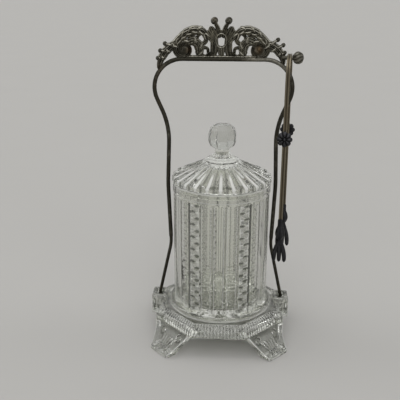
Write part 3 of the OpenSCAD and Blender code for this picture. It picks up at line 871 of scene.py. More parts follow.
        cuts = self.flute_depth * flutes + self.button_depth * groove + self.margin_depth * margin
        pressed = np.where(hidden, 0.0, cuts)
        # painted highlights along the sides and between the flutes, painted shade in the flutes and the button's groove
        lines = 0.25 * ease(np.abs(u), 0.93, 0.97) + 0.2 * reach * (1.0 - ease(flutes, 0.0, 0.2))
        pale = PLAIN + self.haze + np.where(hidden, 0.0, 0.6 * lines - 0.66 * np.clip(flutes + groove, 0.0, 1.0))
        depth = out - 0.5 + (back - out + 0.5) * np.linspace(0.0, 1.0, 9)[None, 1:-1]
        v = np.linspace(1.0, -1.0, 25)[None, :]
        inner = grid(0.97 * v * np.where(v > 0, plus, minus), back, z)
        right, left = grid(plus, depth, z), grid(-minus, depth[:, ::-1], z)
        ring = np.concatenate([grid(x, out - pressed, z), right, inner, left], axis=1)
        plain = np.full((len(z), ring.shape[1] - pale.shape[1]), PLAIN)
        points = placed(ring, turn_matrix("Z", heading - 90.0))
        return skinned(f"foot_{heading:.0f}", points, np.concatenate([pale, plain], axis=1))

    def ear(self, side: Side) -> bpy.types.Object:
        """One ear: a rounded rectangle carried upwards, with upright ribs pressed into its outer faces.

        The ribs sink by depth * (1 - |cos(pi s / pitch)|), where s is the running length round the rectangle, and
        quarter circles round off both ends. The relief paints shade in the rib furrows.

        Args:
            side: Which end of the X axis.

        Returns:
            The ear's solid, without its slot.
        """
        a, b, c = (self.ear_to - self.ear_from) / 2, self.ear_half, self.ear_corner
        signs = ((1, 1, 0), (-1, 1, 90), (-1, -1, 180), (1, -1, 270))
        corners = [arc((sx * (a - c), sy * (b - c)), c, start, start + 90, 6) for sx, sy, start in signs]
        ring = spaced(np.concatenate([*corners, corners[0][:1]]), 0.3)[:-1]
        run = run_along(ring)[None, :]
        lip, quarter = self.ear_lip, np.linspace(0.0, math.pi / 2, 5)
        middle = np.linspace(self.ear_low + 1.8, self.ear_top - 1.8, 24)
        foot, head = self.ear_low + lip - lip * np.cos(quarter), self.ear_top - lip + lip * np.sin(quarter)
        z = np.concatenate([foot, middle, head])[:, None]
        bevels = [lip - lip * np.sin(quarter), np.zeros(middle.size), lip - lip * np.cos(quarter)]
        outer = ease(ring[:, 0], -2.0, 0.0)[None, :] * ease(z, 16.0, 17.5) * (1 - ease(z, 27.0, 28.6))
        furrow = outer * (1.0 - np.abs(np.cos(run * math.pi / self.ear_pitch)))
        cut = np.concatenate(bevels)[:, None] + self.ear_depth * furrow
        x = (self.ear_from + self.ear_to) / 2 + ring[None, :, 0] * ((a - cut) / a)
        points = grid(side.value * x, ring[None, :, 1] * ((b - cut) / b), z)
        # painted shade in the rib furrows
        return skinned(f"ear_{side.name}", points, PLAIN + self.haze - 0.5 * furrow)

    def slot(self, side: Side) -> bpy.types.Object:
        """Cutter for the V slot that the bail's leg swings in and for the bore that its hooked end turns in.

        Args:
            side: Which end of the X axis.

        Returns:
            The cutter's solid, a ring carried along X: the bore first and the V after it.
        """
        a = np.radians(np.linspace(180 + self.slot_deg, 360 - self.slot_deg, 24))
        low = self.slot_r * np.stack([np.cos(a), np.sin(a)], axis=1)
        tip = self.ear_top - self.pivot_z + 1.0
        mouth = self.slot_r / math.cos(math.radians(self.slot_deg)) + tip * math.tan(math.radians(self.slot_deg))
        wide = spaced(np.concatenate([low, [[mouth, tip], [-mouth, tip]], low[:1]]), 0.3)[:-1]
        spin = np.arctan2(wide[:, 1], wide[:, 0])
        round_bore = self.bore_r * np.stack([np.cos(spin), np.sin(spin)], axis=1)
        x = np.array([self.ear_from - 1.0, self.slot_from, self.slot_from + 0.01, self.slot_to])
        rings = np.stack([round_bore, round_bore, wide, wide])
        points = grid(side.value * x[:, None], rings[..., 0], rings[..., 1] + self.pivot_z)
        return skinned(f"slot_{side.name}", points, PLAIN)

    def build(self) -> None:
        """Fuse plate, feet and ears into one pressing, cut the slots and dress it."""
        body = self.plate()
        leans = (Side.POSITIVE, Side.NEGATIVE) * 2
        steps = [(Fuse.JOIN, self.foot(a, lean)) for a, lean in zip((45.0, 135.0, 225.0, 315.0), leans)]
        steps += [(Fuse.JOIN, self.ear(side)) for side in Side]
        steps += [(Fuse.CUT, self.slot(side)) for side in Side]
        fuse(body, steps, 32.0)
        thick = PressedGlass(name="thick_glass", cast=self.thick_cast, thin=self.thick_thin)
        stand_for(dress(body, thick), "stand", "glass_base")


@dataclass
class GlassJar:
    """Straight jar with a plain rim band, a rayed bottom and 24 pressed columns of five kinds."""

    low: float = 22.55
    high: float = 131.85
    radius: float = 38.6
    inner: float = 34.3
    floor: float = 31.5
    rim_low: float = 124.0
    rim_proud: float = 0.6
    columns: int = 24
    samples: int = 14
    turn_deg: float = -1.0
    rung_pitch: float = 3.2
    tooth_rate: float = 0.31
    flute_low: float = 30.5
    flute_high: float = 123.0
    flute_depth: float = 0.9
    bead_depth: float = 0.35
    rung_depth: float = 0.3
    groove_depth: float = 0.2
    rib_drop: float = 1.2
    tooth_depth: float = 1.25
    parting_depth: float = 0.75
    ray_depth: float = 1.3
    order: tuple[Column, ...] = (
        *(Column.FLUTE, Column.LADDER, Column.ZIPPER, Column.BEADED, Column.LAND, Column.LADDER),
        *(Column.FLUTE, Column.LADDER, Column.LAND, Column.BEADED, Column.ZIPPER, Column.LADDER),
    )

    def wall_cut(self, angle: Array, z: Array) -> tuple[Array, Array]:
        """Depth pressed into the wall at an angle and height, and the wall's relief there, which paints shade along
        furrows and highlights beside them.

        With w the place across a column from -0.5 to 0.5 and t the height in rungs: a flute is 1 - (w / 0.42)^2 with
        rounded ends and a beaded column is one with a row of small V notches, a ladder column is a shallow flute with
        V grooves between its rungs, a land is a round rib, and a zipper column is one with V notches from either side
        in turn. A V furrow parts the columns.

        Args:
            angle: Angles round the jar.
            z: Heights up the wall.

        Returns:
            Depth and relief, with its painted shade and highlights, on the grid.
        """
        place = (angle - math.radians(self.turn_deg - 90.0)) * self.columns / TAU
        column = np.round(place)
        w = place - column
        off = np.abs(w)
        kind = np.array([c.value for c in self.order])[column.astype(int) % len(self.order)]
        flute, ladder, zipper, beaded, land = (kind == c.value for c in Column)
        low, high = self.flute_low, self.flute_high
        t = (z - low) / self.rung_pitch
        ends = np.clip((low + 6.0 - z) / 6.0, 0, None) + np.clip((z - high + 5.0) / 5.0, 0, None)
        bowl = np.clip(1.0 - (w / 0.42) ** 2 - ends**2, 0.0, None)
        grooves = notch(t, 0.5, 0.42) * (1.0 - ease(off, 0.26, 0.4))
        rungs = self.rung_depth * bowl + self.groove_depth * grooves
        tooth = self.tooth_rate * t
        teeth = notch(tooth, 0.25, 0.16) * ease(-w, -0.1, 0.04) + notch(tooth, 0.75, 0.16) * ease(w, -0.1, 0.04)
        teeth = teeth * (1.0 - ease(off, 0.36, 0.43))
        beads = notch(0.5 * t, 0.5, 0.2) * (1.0 - ease(off, 0.1, 0.24))
        rib = self.rib_drop * w * w + self.tooth_depth * teeth * zipper
        parting = np.clip(1.0 - (0.5 - off) / 0.075, 0.0, 1.0)
        band = ease(z, low, low + 1.6) * (1.0 - ease(z, high - 1.2, high))
        hollow = self.flute_depth * bowl + self.bead_depth * beads * beaded
        pressed = np.where(flute | beaded, hollow, np.where(ladder, rungs, rib) * band)
        depth = pressed + self.parting_depth * parting * band
        # painted highlights (bright, pale) and painted shade (strokes, dark) for the glass's diffuse skin
        lands = notch(tooth, 0.75, 0.2) * ease(-w, 0.02, 0.1) + notch(tooth, 0.25, 0.2) * ease(w, 0.02, 0.1)
        strokes = 0.14 * grooves * ladder + ease(teeth, 0.15, 0.8) * zipper + 0.6 * beads * beaded
        dark = strokes + 0.6 * parting + beaded * ease(off, 0.36, 0.42)
        bright = 0.5 * notch(t, 0.0, 0.2) * ladder + zipper * np.maximum(lands, 0.6 * (1.0 - ease(teeth, 0.02, 0.3)))
        bright = bright + 0.8 * notch(0.5 * t, 0.0, 0.2) * beaded + 0.4 * land
        pale = bright * (1.0 - ease(off, 0.3, 0.36))
        pale = pale + (1.0 - beaded - 0.5 * land) * np.exp(-(((off - 0.37) / 0.05) ** 2))
        return depth, PLAIN + (0.25 * np.clip(pale, 0.0, 1.0) - PLAIN * np.clip(dark, 0.0, 1.0)) * band

    def build(self) -> None:
        """Turn the jar from one profile: rayed bottom, pressed wall, rim, inner wall and floor.

        The rays are V furrows under the bottom, one to a column, that deepen evenly with the radius.
        """
        angle = ring_angles(self.columns, self.samples, math.radians(self.turn_deg - 90.0))[None, :]
        wall, proud, inner = self.radius, self.radius + self.rim_proud, self.inner
        low, rim_low, high, floor = self.low, self.rim_low, self.high, self.floor
        parts = [
            line((1.0, low), (35.6, low), 14),
            arc((wall - 2.4, low + 2.4), 2.4, -88, 0, 8),
            line((wall, low + 2.9), (wall, rim_low - 0.5), 200),
            arc((proud - 0.5, rim_low + 0.5), 0.5, -90, 0, 4),
            line((proud, rim_low + 1.0), (proud, high - 1.6), 4),
            arc((proud - 1.4, high - 1.4), 1.4, 0, 90, 6),
            arc((inner + 1.2, high - 1.2), 1.2, 90, 180, 6),
            line((inner, high - 2.0), (inner, floor + 6.5), 8),
            arc((inner - 6.0, floor + 6.0), 6.0, 0, -90, 9),
            line((inner - 7.0, floor), (1.0, floor), 5),
        ]
        r, z = profile(parts)
        under, outside = by_part([1, *[0] * 9], parts), by_part([0, 0, 1, *[0] * 7], parts)
        # painted highlights on the rim band and its rounded edges
        rim = by_part([0, 0, 0, 0.22, 0.1, 0.2, *[0] * 4], parts)
        ray = notch(angle * self.columns / TAU, 0.0, 0.5) * np.clip(r / 34.0, 0.0, 1.0)
        star = self.ray_depth * ray * ease(r, 3.0, 6.0) * (1.0 - ease(r, 32.0, 34.5))
        depth, relief = self.wall_cut(angle, z)
        points = turned(r - outside * depth, z + under * star, angle)
        piece = skinned("glass_jar_dressed", points, PLAIN + rim + outside * (relief - PLAIN), 30.0)
        stand_for(dress(piece, PressedGlass()), "jar", "glass_jar")


@dataclass
class GlassLid:
    """Fluted lid with a stepped collar, a panelled knob and a flange inside the jar's mouth."""

    seat: float = 131.9
    radius: float = 39.6
    edge_h: float = 4.4
    cone_top: float = 148.1
    collar_r: float = 13.5
    cove_z: float = 155.4
    cove_r: float = 6.1
    neck_r: float = 5.5
    neck_z: float = 153.7
    knob_low: float = 157.7
    knob_high: float = 176.7
    knob_half: float = 11.0
    panel_share: float = 0.75
    panel_depth: float = 0.35
    flange_r: float = 33.8
    flange_wall: float = 3.2
    flange_low: float = 125.9
    hollow_edge: float = 142.6
    hollow_top: float = 142.8
    flutes: int = 24
    flute_depth: float = 1.5
    scallop: float = 0.75

    def build(self) -> None:
        """Turn the lid from one profile: knob, neck, collar, fluted cone, edge, flange and hollow underside.

        On the knob the radius is three quarters of the way from r to r / cos(d), a soft octagon with hollow panels.
        On the cone each flute sinks by depth * (1 - (w / 0.47)^2) * r / edge radius along the cone's normal, w being
        the place across the flute, and the flutes scallop the edge. The relief paints highlights on the flutes' ridges
        and the edge's dashes, shade in the flutes' hollows and a paler knob.
        """
        angle = ring_angles(self.flutes, 16, -math.pi / 2)[None, :]
        half, mid, high, low = self.knob_half, (self.knob_low + self.knob_high) / 2, self.knob_high, self.knob_low
        neck, neck_z, collar, cone = self.neck_r, self.neck_z, self.collar_r, self.cone_top
        edge, seat, edge_z = self.radius, self.seat, self.seat + self.edge_h
        flange, foot, wall = self.flange_r, self.flange_low, self.flange_r - self.flange_wall
        parts = [
            line((0.8, high - 0.7), (0.5 * half, high - 0.35), 4),
            line((0.56 * half, high), (0.6 * half, high - 0.15), 2),
            line((0.63 * half, mid + 8.9), (0.85 * half, mid + 6.8), 4),
            line((0.88 * half, mid + 6.2), (0.99 * half, mid + 2.8), 5),
            line((half, mid + 2.3), (half, mid - 2.3), 4),
            line((0.99 * half, mid - 2.8), (0.88 * half, mid - 5.9), 5),
            line((0.84 * half, mid - 6.6), (0.55 * half, low + 0.3), 5),
            line((neck, low - 0.4), (neck, neck_z + 0.5), 5),
            arc((neck + 0.9, neck_z + 0.3), 0.6, 200, 260, 3),
            arc((neck + 0.9, neck_z - 0.6), 0.6, 90, 0, 4),
            arc((collar, self.cove_z), self.cove_r, 205, 265, 10),
            arc((collar - 0.7, cone + 0.6), 0.7, 80, 0, 4),
            line((collar + 0.1, cone - 0.1), (edge - 0.9, edge_z + 0.4), 34),
            arc((edge - 1.0, edge_z - 0.7), 1.0, 70, 0, 5),
            line((edge, edge_z - 1.2), (edge, seat + 0.7), 5),
            arc((edge - 0.5, seat + 0.5), 0.5, 0, -90, 4),
            line((edge - 1.2, seat), (flange + 0.5, seat), 3),
            line((flange, seat - 0.4), (flange - 0.1, foot + 0.9), 4),
            arc((flange - 1.0, foot + 0.8), 0.8, 0, -90, 4),
            arc((wall + 0.8, foot + 0.8), 0.8, -90, -180, 4),
            line((wall, foot + 1.2), (wall, seat + 1.2), 4),
            line((wall - 0.5, seat + 2.0), (collar, self.hollow_edge), 8),
            line((collar - 1.0, self.hollow_top), (1.0, self.hollow_top), 4),
        ]
        r, z = profile(parts)
        eight = by_part([0.0, *[1.0] * 6, *[0.0] * 16], parts)
        fluted = by_part([*[0.0] * 12, 1.0, 0.9, 0.35, *[0.0] * 8], parts)
        rim = by_part([*[0.0] * 13, 0.5, 1.0, 0.7, *[0.0] * 7], parts)
        w = notch(angle * self.flutes / TAU, 0.0, 0.47)
        pressed = self.flute_depth * (1.0 - (1.0 - w) ** 2) * r / edge * fluted
        pressed = pressed * ease(r, collar + 1.0, collar + 4.0)
        panels = octagon(angle)
        hollow = self.panel_depth * (1.0 - (panels - 1.0) / (panels.max() - 1.0))
        tilt = math.atan2(cone - edge_z, edge - collar)
        radius = r * (1.0 + self.panel_share * eight * (panels - 1.0)) - eight * hollow - pressed * math.sin(tilt)
        radius = radius - self.scallop * rim * ease(w, 0.0, 0.8)
        # painted highlights on flute ridges and edge dashes, painted shade in flute hollows, a paler knob
        shown = fluted * ease(r, collar, collar + 4.0)
        relief = PLAIN + shown * (0.25 * ease(w, 0.52, 0.78) * ease(r, 16.0, 28.0) - 0.45 * (1.0 - ease(w, 0.0, 0.25)))
        relief = relief + 0.11 * eight + rim * (0.2 * ease(w, 0.6, 0.9) - 0.45 * (1.0 - ease(w, 0.0, 0.3)))
        piece = skinned("glass_lid_dressed", turned(radius, z - pressed * math.cos(tilt), angle), relief, 24.0)
        stand_for(dress(piece, PressedGlass()), "lid", "glass_lid")


@dataclass
class WireBail:
    """Bail of thick wire with a bar, round shoulders and waisted legs, and its thin hooked lower legs."""

    wire_r: float = 1.65
    leg_r: float = 1.35
    corners: Points = ((64.2, 226.5), (41.45, 175.5), (43.05, 128.0), (41.25, 81.5))
    bends: tuple[float, ...] = (21.5, 60.0, 150.0)
    leg_corners: Points = ((41.44, 86.5), (41.06, 76.5), (51.81, 27.5), (45.86, 27.5))
    leg_bends: tuple[float, ...] = (38.0, 2.6)

    def wire(self, node: str, path: Array, radius: float, ends: tuple[float, float]) -> None:
        """Carry a round wire along a path, with the slight unevenness of hand bending, and dress it.

        The radius swells and thins by about a percent, as a slow sine of the running length times one that also
        winds round the wire.

        Args:
            node: The node that the wire stands for.
            path: Points (x, z) along the wire.
            radius: The wire's radius.
            ends: Reach of the rounding at each end.
        """
        path = spaced(path, 0.7)
        run = run_along(path)[:, None]
        a = around(24)
        r = radius * (0.985 + 0.012 * np.sin(run / 7.3) * np.sin(run / 2.9 + 2 * a)) * blunt(path, *ends)[:, None]
        rubbed = ease(path[:, :1], 8.0, 30.0) * ease(path[:, 1:], 205.0, 222.0)
        relief = -0.02 + 0.1 * np.sin(run / 11.0) + 0.16 * np.sin(a) ** 2 + 0.4 * rubbed
        piece = skinned(f"{node}_dressed", carried(path, r * np.cos(a), r * np.sin(a)), relief)
        stand_for(dress(piece, TarnishedSilver()), "bail", node)

    def build(self) -> None:
        """Bend the arch and both lower legs."""
        arch = [*((-x, z) for x, z in reversed(self.corners)), *self.corners]
        self.wire("bail_arch", bent_wire(arch, [*reversed(self.bends), *self.bends]), self.wire_r, (0.8, 0.8))
        for side, node in ((Side.NEGATIVE, "left_lower_leg"), (Side.POSITIVE, "right_lower_leg")):
            leg = [(side.value * x, z) for x, z in self.leg_corners]
            self.wire(node, bent_wire(leg, self.leg_bends), self.leg_r, (0.0, 0.6))


@dataclass
class CastCrest:
    """Cast openwork crest: scroll arches clothed in leaves, curls, a palmette with two balls, and end leaves."""

    middle: float = -1.8
    foot: float = 228.15
    depth: float = 4.4
    ring: int = 36
    right_leaf: Points = ((32.4, 10.2), (40.4, 8.4), (45.8, 3.0), (47.0, -5.4))
    right_tips: Points = ((42.8, 13.4), (46.8, 9.4), (47.6, 3.6))
    left_leaf: Points = ((-32.4, 10.2), (-41.5, 6.8), (-46.2, -1.0), (-47.4, -9.6))
    left_tips: Points = ((-43.2, 9.8), (-46.6, 4.4), (-48.2, -1.2))
    curves: tuple[tuple[Points, Widths, float, int, int], ...] = (
        (((11.2, 12.42), (11.2, 23.09), (27.3, 22.21), (35.0, 6.98)), (4.0, 7.2, 4.2), depth, 5, 6),
        (((18.0, 0.4), (14.0, 6.0), (17.4, 13.6), (25.6, 9.6)), (4.4, 7.6, 2.4), 3.6, 5, 4),
        (((17.0, 12.2), (19.5, 13.0), (23.5, 12.4), (27.6, 9.6)), (4.4, 5.6, 2.0), 3.9, 3, 3),
        (((6.6, 0.2), (3.6, 7.0), (6.8, 16.0), (4.2, 20.4)), (5.0, 6.2, 3.8), depth, 5, 0),
        (((1.9, 18.2), (2.6, 21.0), (3.6, 22.6), (5.2, 25.8)), (3.6, 3.4, 2.6), 3.8, 3, 0),
    )
    scrolls: tuple[tuple[Points, Point, Widths, float], ...] = (
        (((28.2, 5.58), (6.8, 6.8), (1.4, 1.4)), (8, -470), (4.0, 3.3, 2.2), 4.0),
        (((14.8, 13.2), (3.6, 3.8), (3.0, 3.2)), (176, 450), (4.0, 3.1, 2.2), 3.5),
        (((11.8, 4.2), (4.6, 4.2), (1.4, 1.4)), (-118, 230), (3.0, 3.1, 2.2), 3.1),
    )
    petals: tuple[tuple[Point, Point, float], ...] = (
        ((5.4, 11.0), (9.4, 17.0), 5.2),
        ((4.4, 14.0), (7.4, 20.0), 4.8),
        ((1.6, 15.8), (1.9, 18.4), 4.2),
        ((29.6, 15.6), (34.4, 10.4), 4.6),
        ((19.0, 17.4), (24.4, 15.6), 3.4),
        ((7.6, 3.0), (10.4, 1.4), 2.6),
    )
    balls: tuple[tuple[float, float, float, float], ...] = (
        (5.3, 26.2, 2.83, 1.0),
        (28.2, 5.58, 1.9, 1.0),
        (28.2, 5.58, 5.6, 0.2),
    )
    end_ball_r: float = 1.75

    def band(
        self, shell: Shell, path: Array, widths: Widths, depth: float, reeds: int = 3, tips: int = 0
    ) -> None:
        """Cast band carried along a path: a flattened round section whose front and back are reeded.

        The half width is w0 + (w2 - w0) t + (w1 - (w0 + w2) / 2) sin(pi t), over two. With x = cos(a) across the
        section, its depth is |sin a|^0.6 * (0.7 + 0.3 cos(pi reeds x)), so reeds run along the band. Tips swell and
        step the band like leaves that overlap along it, the step slanting back towards the band's edges.

        Args:
            shell: Where the skin goes.
            path: Points (x, z) in the crest's own drawing.
            widths: Width at the root, in the middle and at the tip.
            depth: Depth from front to back.
            reeds: Number of reeds across the section.
            tips: Number of leaves along the band, 0 for an even band.
        """
        path = spaced(path, 0.36) + np.array([self.middle, self.foot])
        run = run_along(path)
        t = (run / run[-1])[:, None]
        w0, w1, w2 = widths
        ends = blunt(path, w0 / 2, w2 / 2)[:, None]
        half = (w0 + (w2 - w0) * t + (w1 - (w0 + w2) / 2) * np.sin(math.pi * t)) / 2 * ends
        a = around(self.ring)
        across = np.cos(a)
        leaf = (t * tips + 0.35 * np.abs(across)) % 1.0 if tips else np.full((1, 1), 0.6)
        reed = np.cos(math.pi * reeds * across)
        thick = depth / 2 * ends * (0.8 + 0.2 * np.sin(math.pi * t)) * (0.72 + 0.3 * leaf**0.8)
        y = thick * np.sign(np.sin(a)) * np.abs(np.sin(a)) ** 0.6 * (0.7 + 0.3 * reed)
        half = half * (0.92 + 0.1 * leaf)
        raised = 0.67 + 0.3 * reed * np.abs(np.sin(a)) ** 0.4 + 0.34 * (leaf - 0.5)
        shell.skin(carried(path, half * across, y), np.clip(raised, 0.0, 1.0))

    def leaves(self, shell: Shell, spine: Array, count: int, side: float, reach: float) -> None:
        """Row of small leaves that spring from a spine and lean along it.

        Each leaf follows a cubic curve that leaves the spine and then leans along it.

        Args:
            shell: Where the skins go.
            spine: Points (x, z) that the leaves spring from.
            count: Number of leaves.
            side: 1 for the left of the spine's run, -1 for the right.
            reach: How far a tip stands from the spine.
        """
        path = spaced(spine, 0.5)
        along = np.gradient(path, axis=0)
        along /= np.linalg.norm(along, axis=1, keepdims=True)
        away = side * np.stack([-along[:, 1], along[:, 0]], axis=1)
        for k in np.linspace(0.08 * len(path), 0.84 * len(path), count).astype(int):
            swell = reach * (0.55 + 0.45 * math.sin(math.pi * k / len(path)))
            p, t, n = path[k], along[k], away[k]
            guides = (p, p + 1.6 * t + 0.7 * swell * n, p + 3.4 * t + swell * n, p + 5.0 * t + 0.9 * swell * n)
            self.band(shell, guide_curve(guides, 16), (1.8, 2.9, 1.2), 0.96 * self.depth, 1)

    def ball(self, shell: Shell, x: float, z: float, radius: float, flat: float = 1.0) -> None:
        """Ball or flattened button with a coiled groove, on a grid of latitude and longitude.

        The radius is R * (0.94 + 0.06 sin(2 lon + 5 lat)) and its reach from front to back is scaled by flat.

        Args:
            shell: Where the skin goes.
            x: Middle, across the crest's drawing.
            z: Middle, up the crest's drawing.
            radius: R.
            flat: Share of the depth that is kept.
        """
        lat = np.linspace(-0.48 * math.pi, 0.48 * math.pi, 22)[:, None]
        lon = around(36)
        swirl = np.sin(2.0 * lon + 5.0 * lat)
        r = radius * (0.94 + 0.06 * swirl)
        out = r * np.cos(lat)
        across, up = self.middle + x + out * np.cos(lon), self.foot + z + out * np.sin(lon)
        shell.skin(grid(across, flat * r * np.sin(lat), up), 0.16 + 0.24 * swirl)

    def petal(self, shell: Shell, root: Array, tip: Array, width: float) -> None:
        """Rounded petal: a short band between two points, reaching half its width past both.

        Args:
            shell: Where the skin goes.
            root: First point, in the crest's own drawing.
            tip: Second point.
            width: The petal's width.
        """
        over = (tip - root) / np.linalg.norm(tip - root) * width / 2
        widths = (0.8 * width, 1.1 * width, 0.9 * width)
        self.band(shell, line(root - over, tip + over, 24), widths, 1.04 * self.depth, 3)

    def half(self, shell: Shell, side: Side) -> None:
        """One side of the openwork: curved bands, scrolls, rows of leaves, petals and balls.

        Args:
            shell: Where the skins go.
            side: Which side of the crest's middle.
        """
        flip = np.array([side.value, 1.0])
        for guides, *form in self.curves:
            self.band(shell, guide_curve(guides) * flip, *form)
        for scroll, sweep, *form in self.scrolls:
            self.band(shell, scroll_curve(*scroll, *sweep) * flip, *form)
        arch, inner = (guide_curve(guides) * flip for guides, *_ in self.curves[:2])
        self.leaves(shell, arch[::-1], 6, side.value, 2.5)
        self.leaves(shell, arch[::-1], 5, -side.value, 2.2)
        self.leaves(shell, inner, 4, side.value, 3.0)
        for root, tip, width in self.petals:
            self.petal(shell, root * flip, tip * flip, width)
        for x, *form in self.balls:
            self.ball(shell, side.value * x, *form)

    def end_leaf(self, shell: Shell, spine: Points, tips: Points) -> None:
        """Leaf from an arch down to the shoulder, with a small knob on a stem at each bump and a leaf under it.

        Args:
            shell: Where the skins go.
            spine: Four guide points of the leaf's spine.
            tips: Where the bumps end.
        """
        path = guide_curve(spine)
        self.band(shell, path, (5.0, 6.8, 2.4), 0.9 * self.depth, 5, 4)
        for k, tip in enumerate(tips):
            root = path[10 + 14 * k]
            knob = root + 0.86 * (np.array(tip) - root)
            self.band(shell, guide_curve((root, root, knob, knob), 20), (4.2, 2.6, 1.8), 3.4, 1)
            self.ball(shell, *knob, self.end_ball_r)
            under = 1.7 * root - 0.7 * np.array(tip)
            self.band(shell, guide_curve((path[5 + 14 * k], root, root, under), 16), (2.2, 3.0, 1.2), self.depth, 1)

    def build(self) -> None:
        """Gather the casting's bands, leaves, petals and balls, and dress it."""
        shell = Shell()
        for side in Side:
            self.half(shell, side)
        self.band(shell, line((-29.0, 0.3), (29.0, 0.3), 60), (2.0, 2.0, 2.0), 3.1, 1, 20)
        self.band(shell, line((0.0, -0.6), (0.0, 8.2), 24), (3.0, 5.4, 5.0), 3.4, 3)
        self.band(shell, scroll_curve((0.0, 12.0), (4.0, 5.1), (4.0, 5.1), -90, 284), (2.2, 2.2, 2.2), 4.3, 1)
        self.end_leaf(shell, self.right_leaf, self.right_tips)
        self.end_leaf(shell, self.left_leaf, self.left_tips)
        stand_for(dress(shell.build("crest_dressed", 50.0), TarnishedSilver()), "bail", "crest")


@dataclass
class TongHook:
    """Pin at the crest's right end, with a lobed ball that keeps the tongs on."""

    root: float = 43.0
    centre: float = 55.6
    height: float = 228.0
    pin_r: float = 1.58
    ball_r: float = 4.75
    half: float = 4.2
    lobes: int = 9

    def build(self) -> None:
        """Carry a ring along X: the pin, then the ball with its lobes wound round by a slow twist.

        The ball's radius is R * sqrt(1 - (x / half)^2) * (0.88 + 0.12 |cos(lobes / 2 * a)|), with the angle a led on
        along X.
        """
        a = around(108)
        pin_x = np.linspace(self.root, self.centre - self.half * 0.9, 12)
        ball_x = self.centre + self.half * np.sin(np.linspace(-0.46 * math.pi, 0.49 * math.pi, 30))
        x = np.concatenate([pin_x, ball_x])[:, None]
        along = (ball_x - self.centre)[:, None]
        lobe = np.abs(np.cos(self.lobes / 2 * (a + 0.12 * along)))
        swell = self.ball_r * np.sqrt(np.clip(1.0 - (along / self.half) ** 2, 0.0, 1.0))
        pin = np.ones((pin_x.size, a.size))
        r = np.concatenate([self.pin_r * pin, np.maximum(swell, 0.4) * (0.88 + 0.12 * lobe)])
        points = grid(x, r * np.cos(a), self.height + r * np.sin(a))
        piece = skinned("tong_hook_dressed", points, np.concatenate([0.35 * pin, 0.04 + 0.5 * lobe]))
        stand_for(dress(piece, TarnishedSilver()), "bail", "tong_hook")


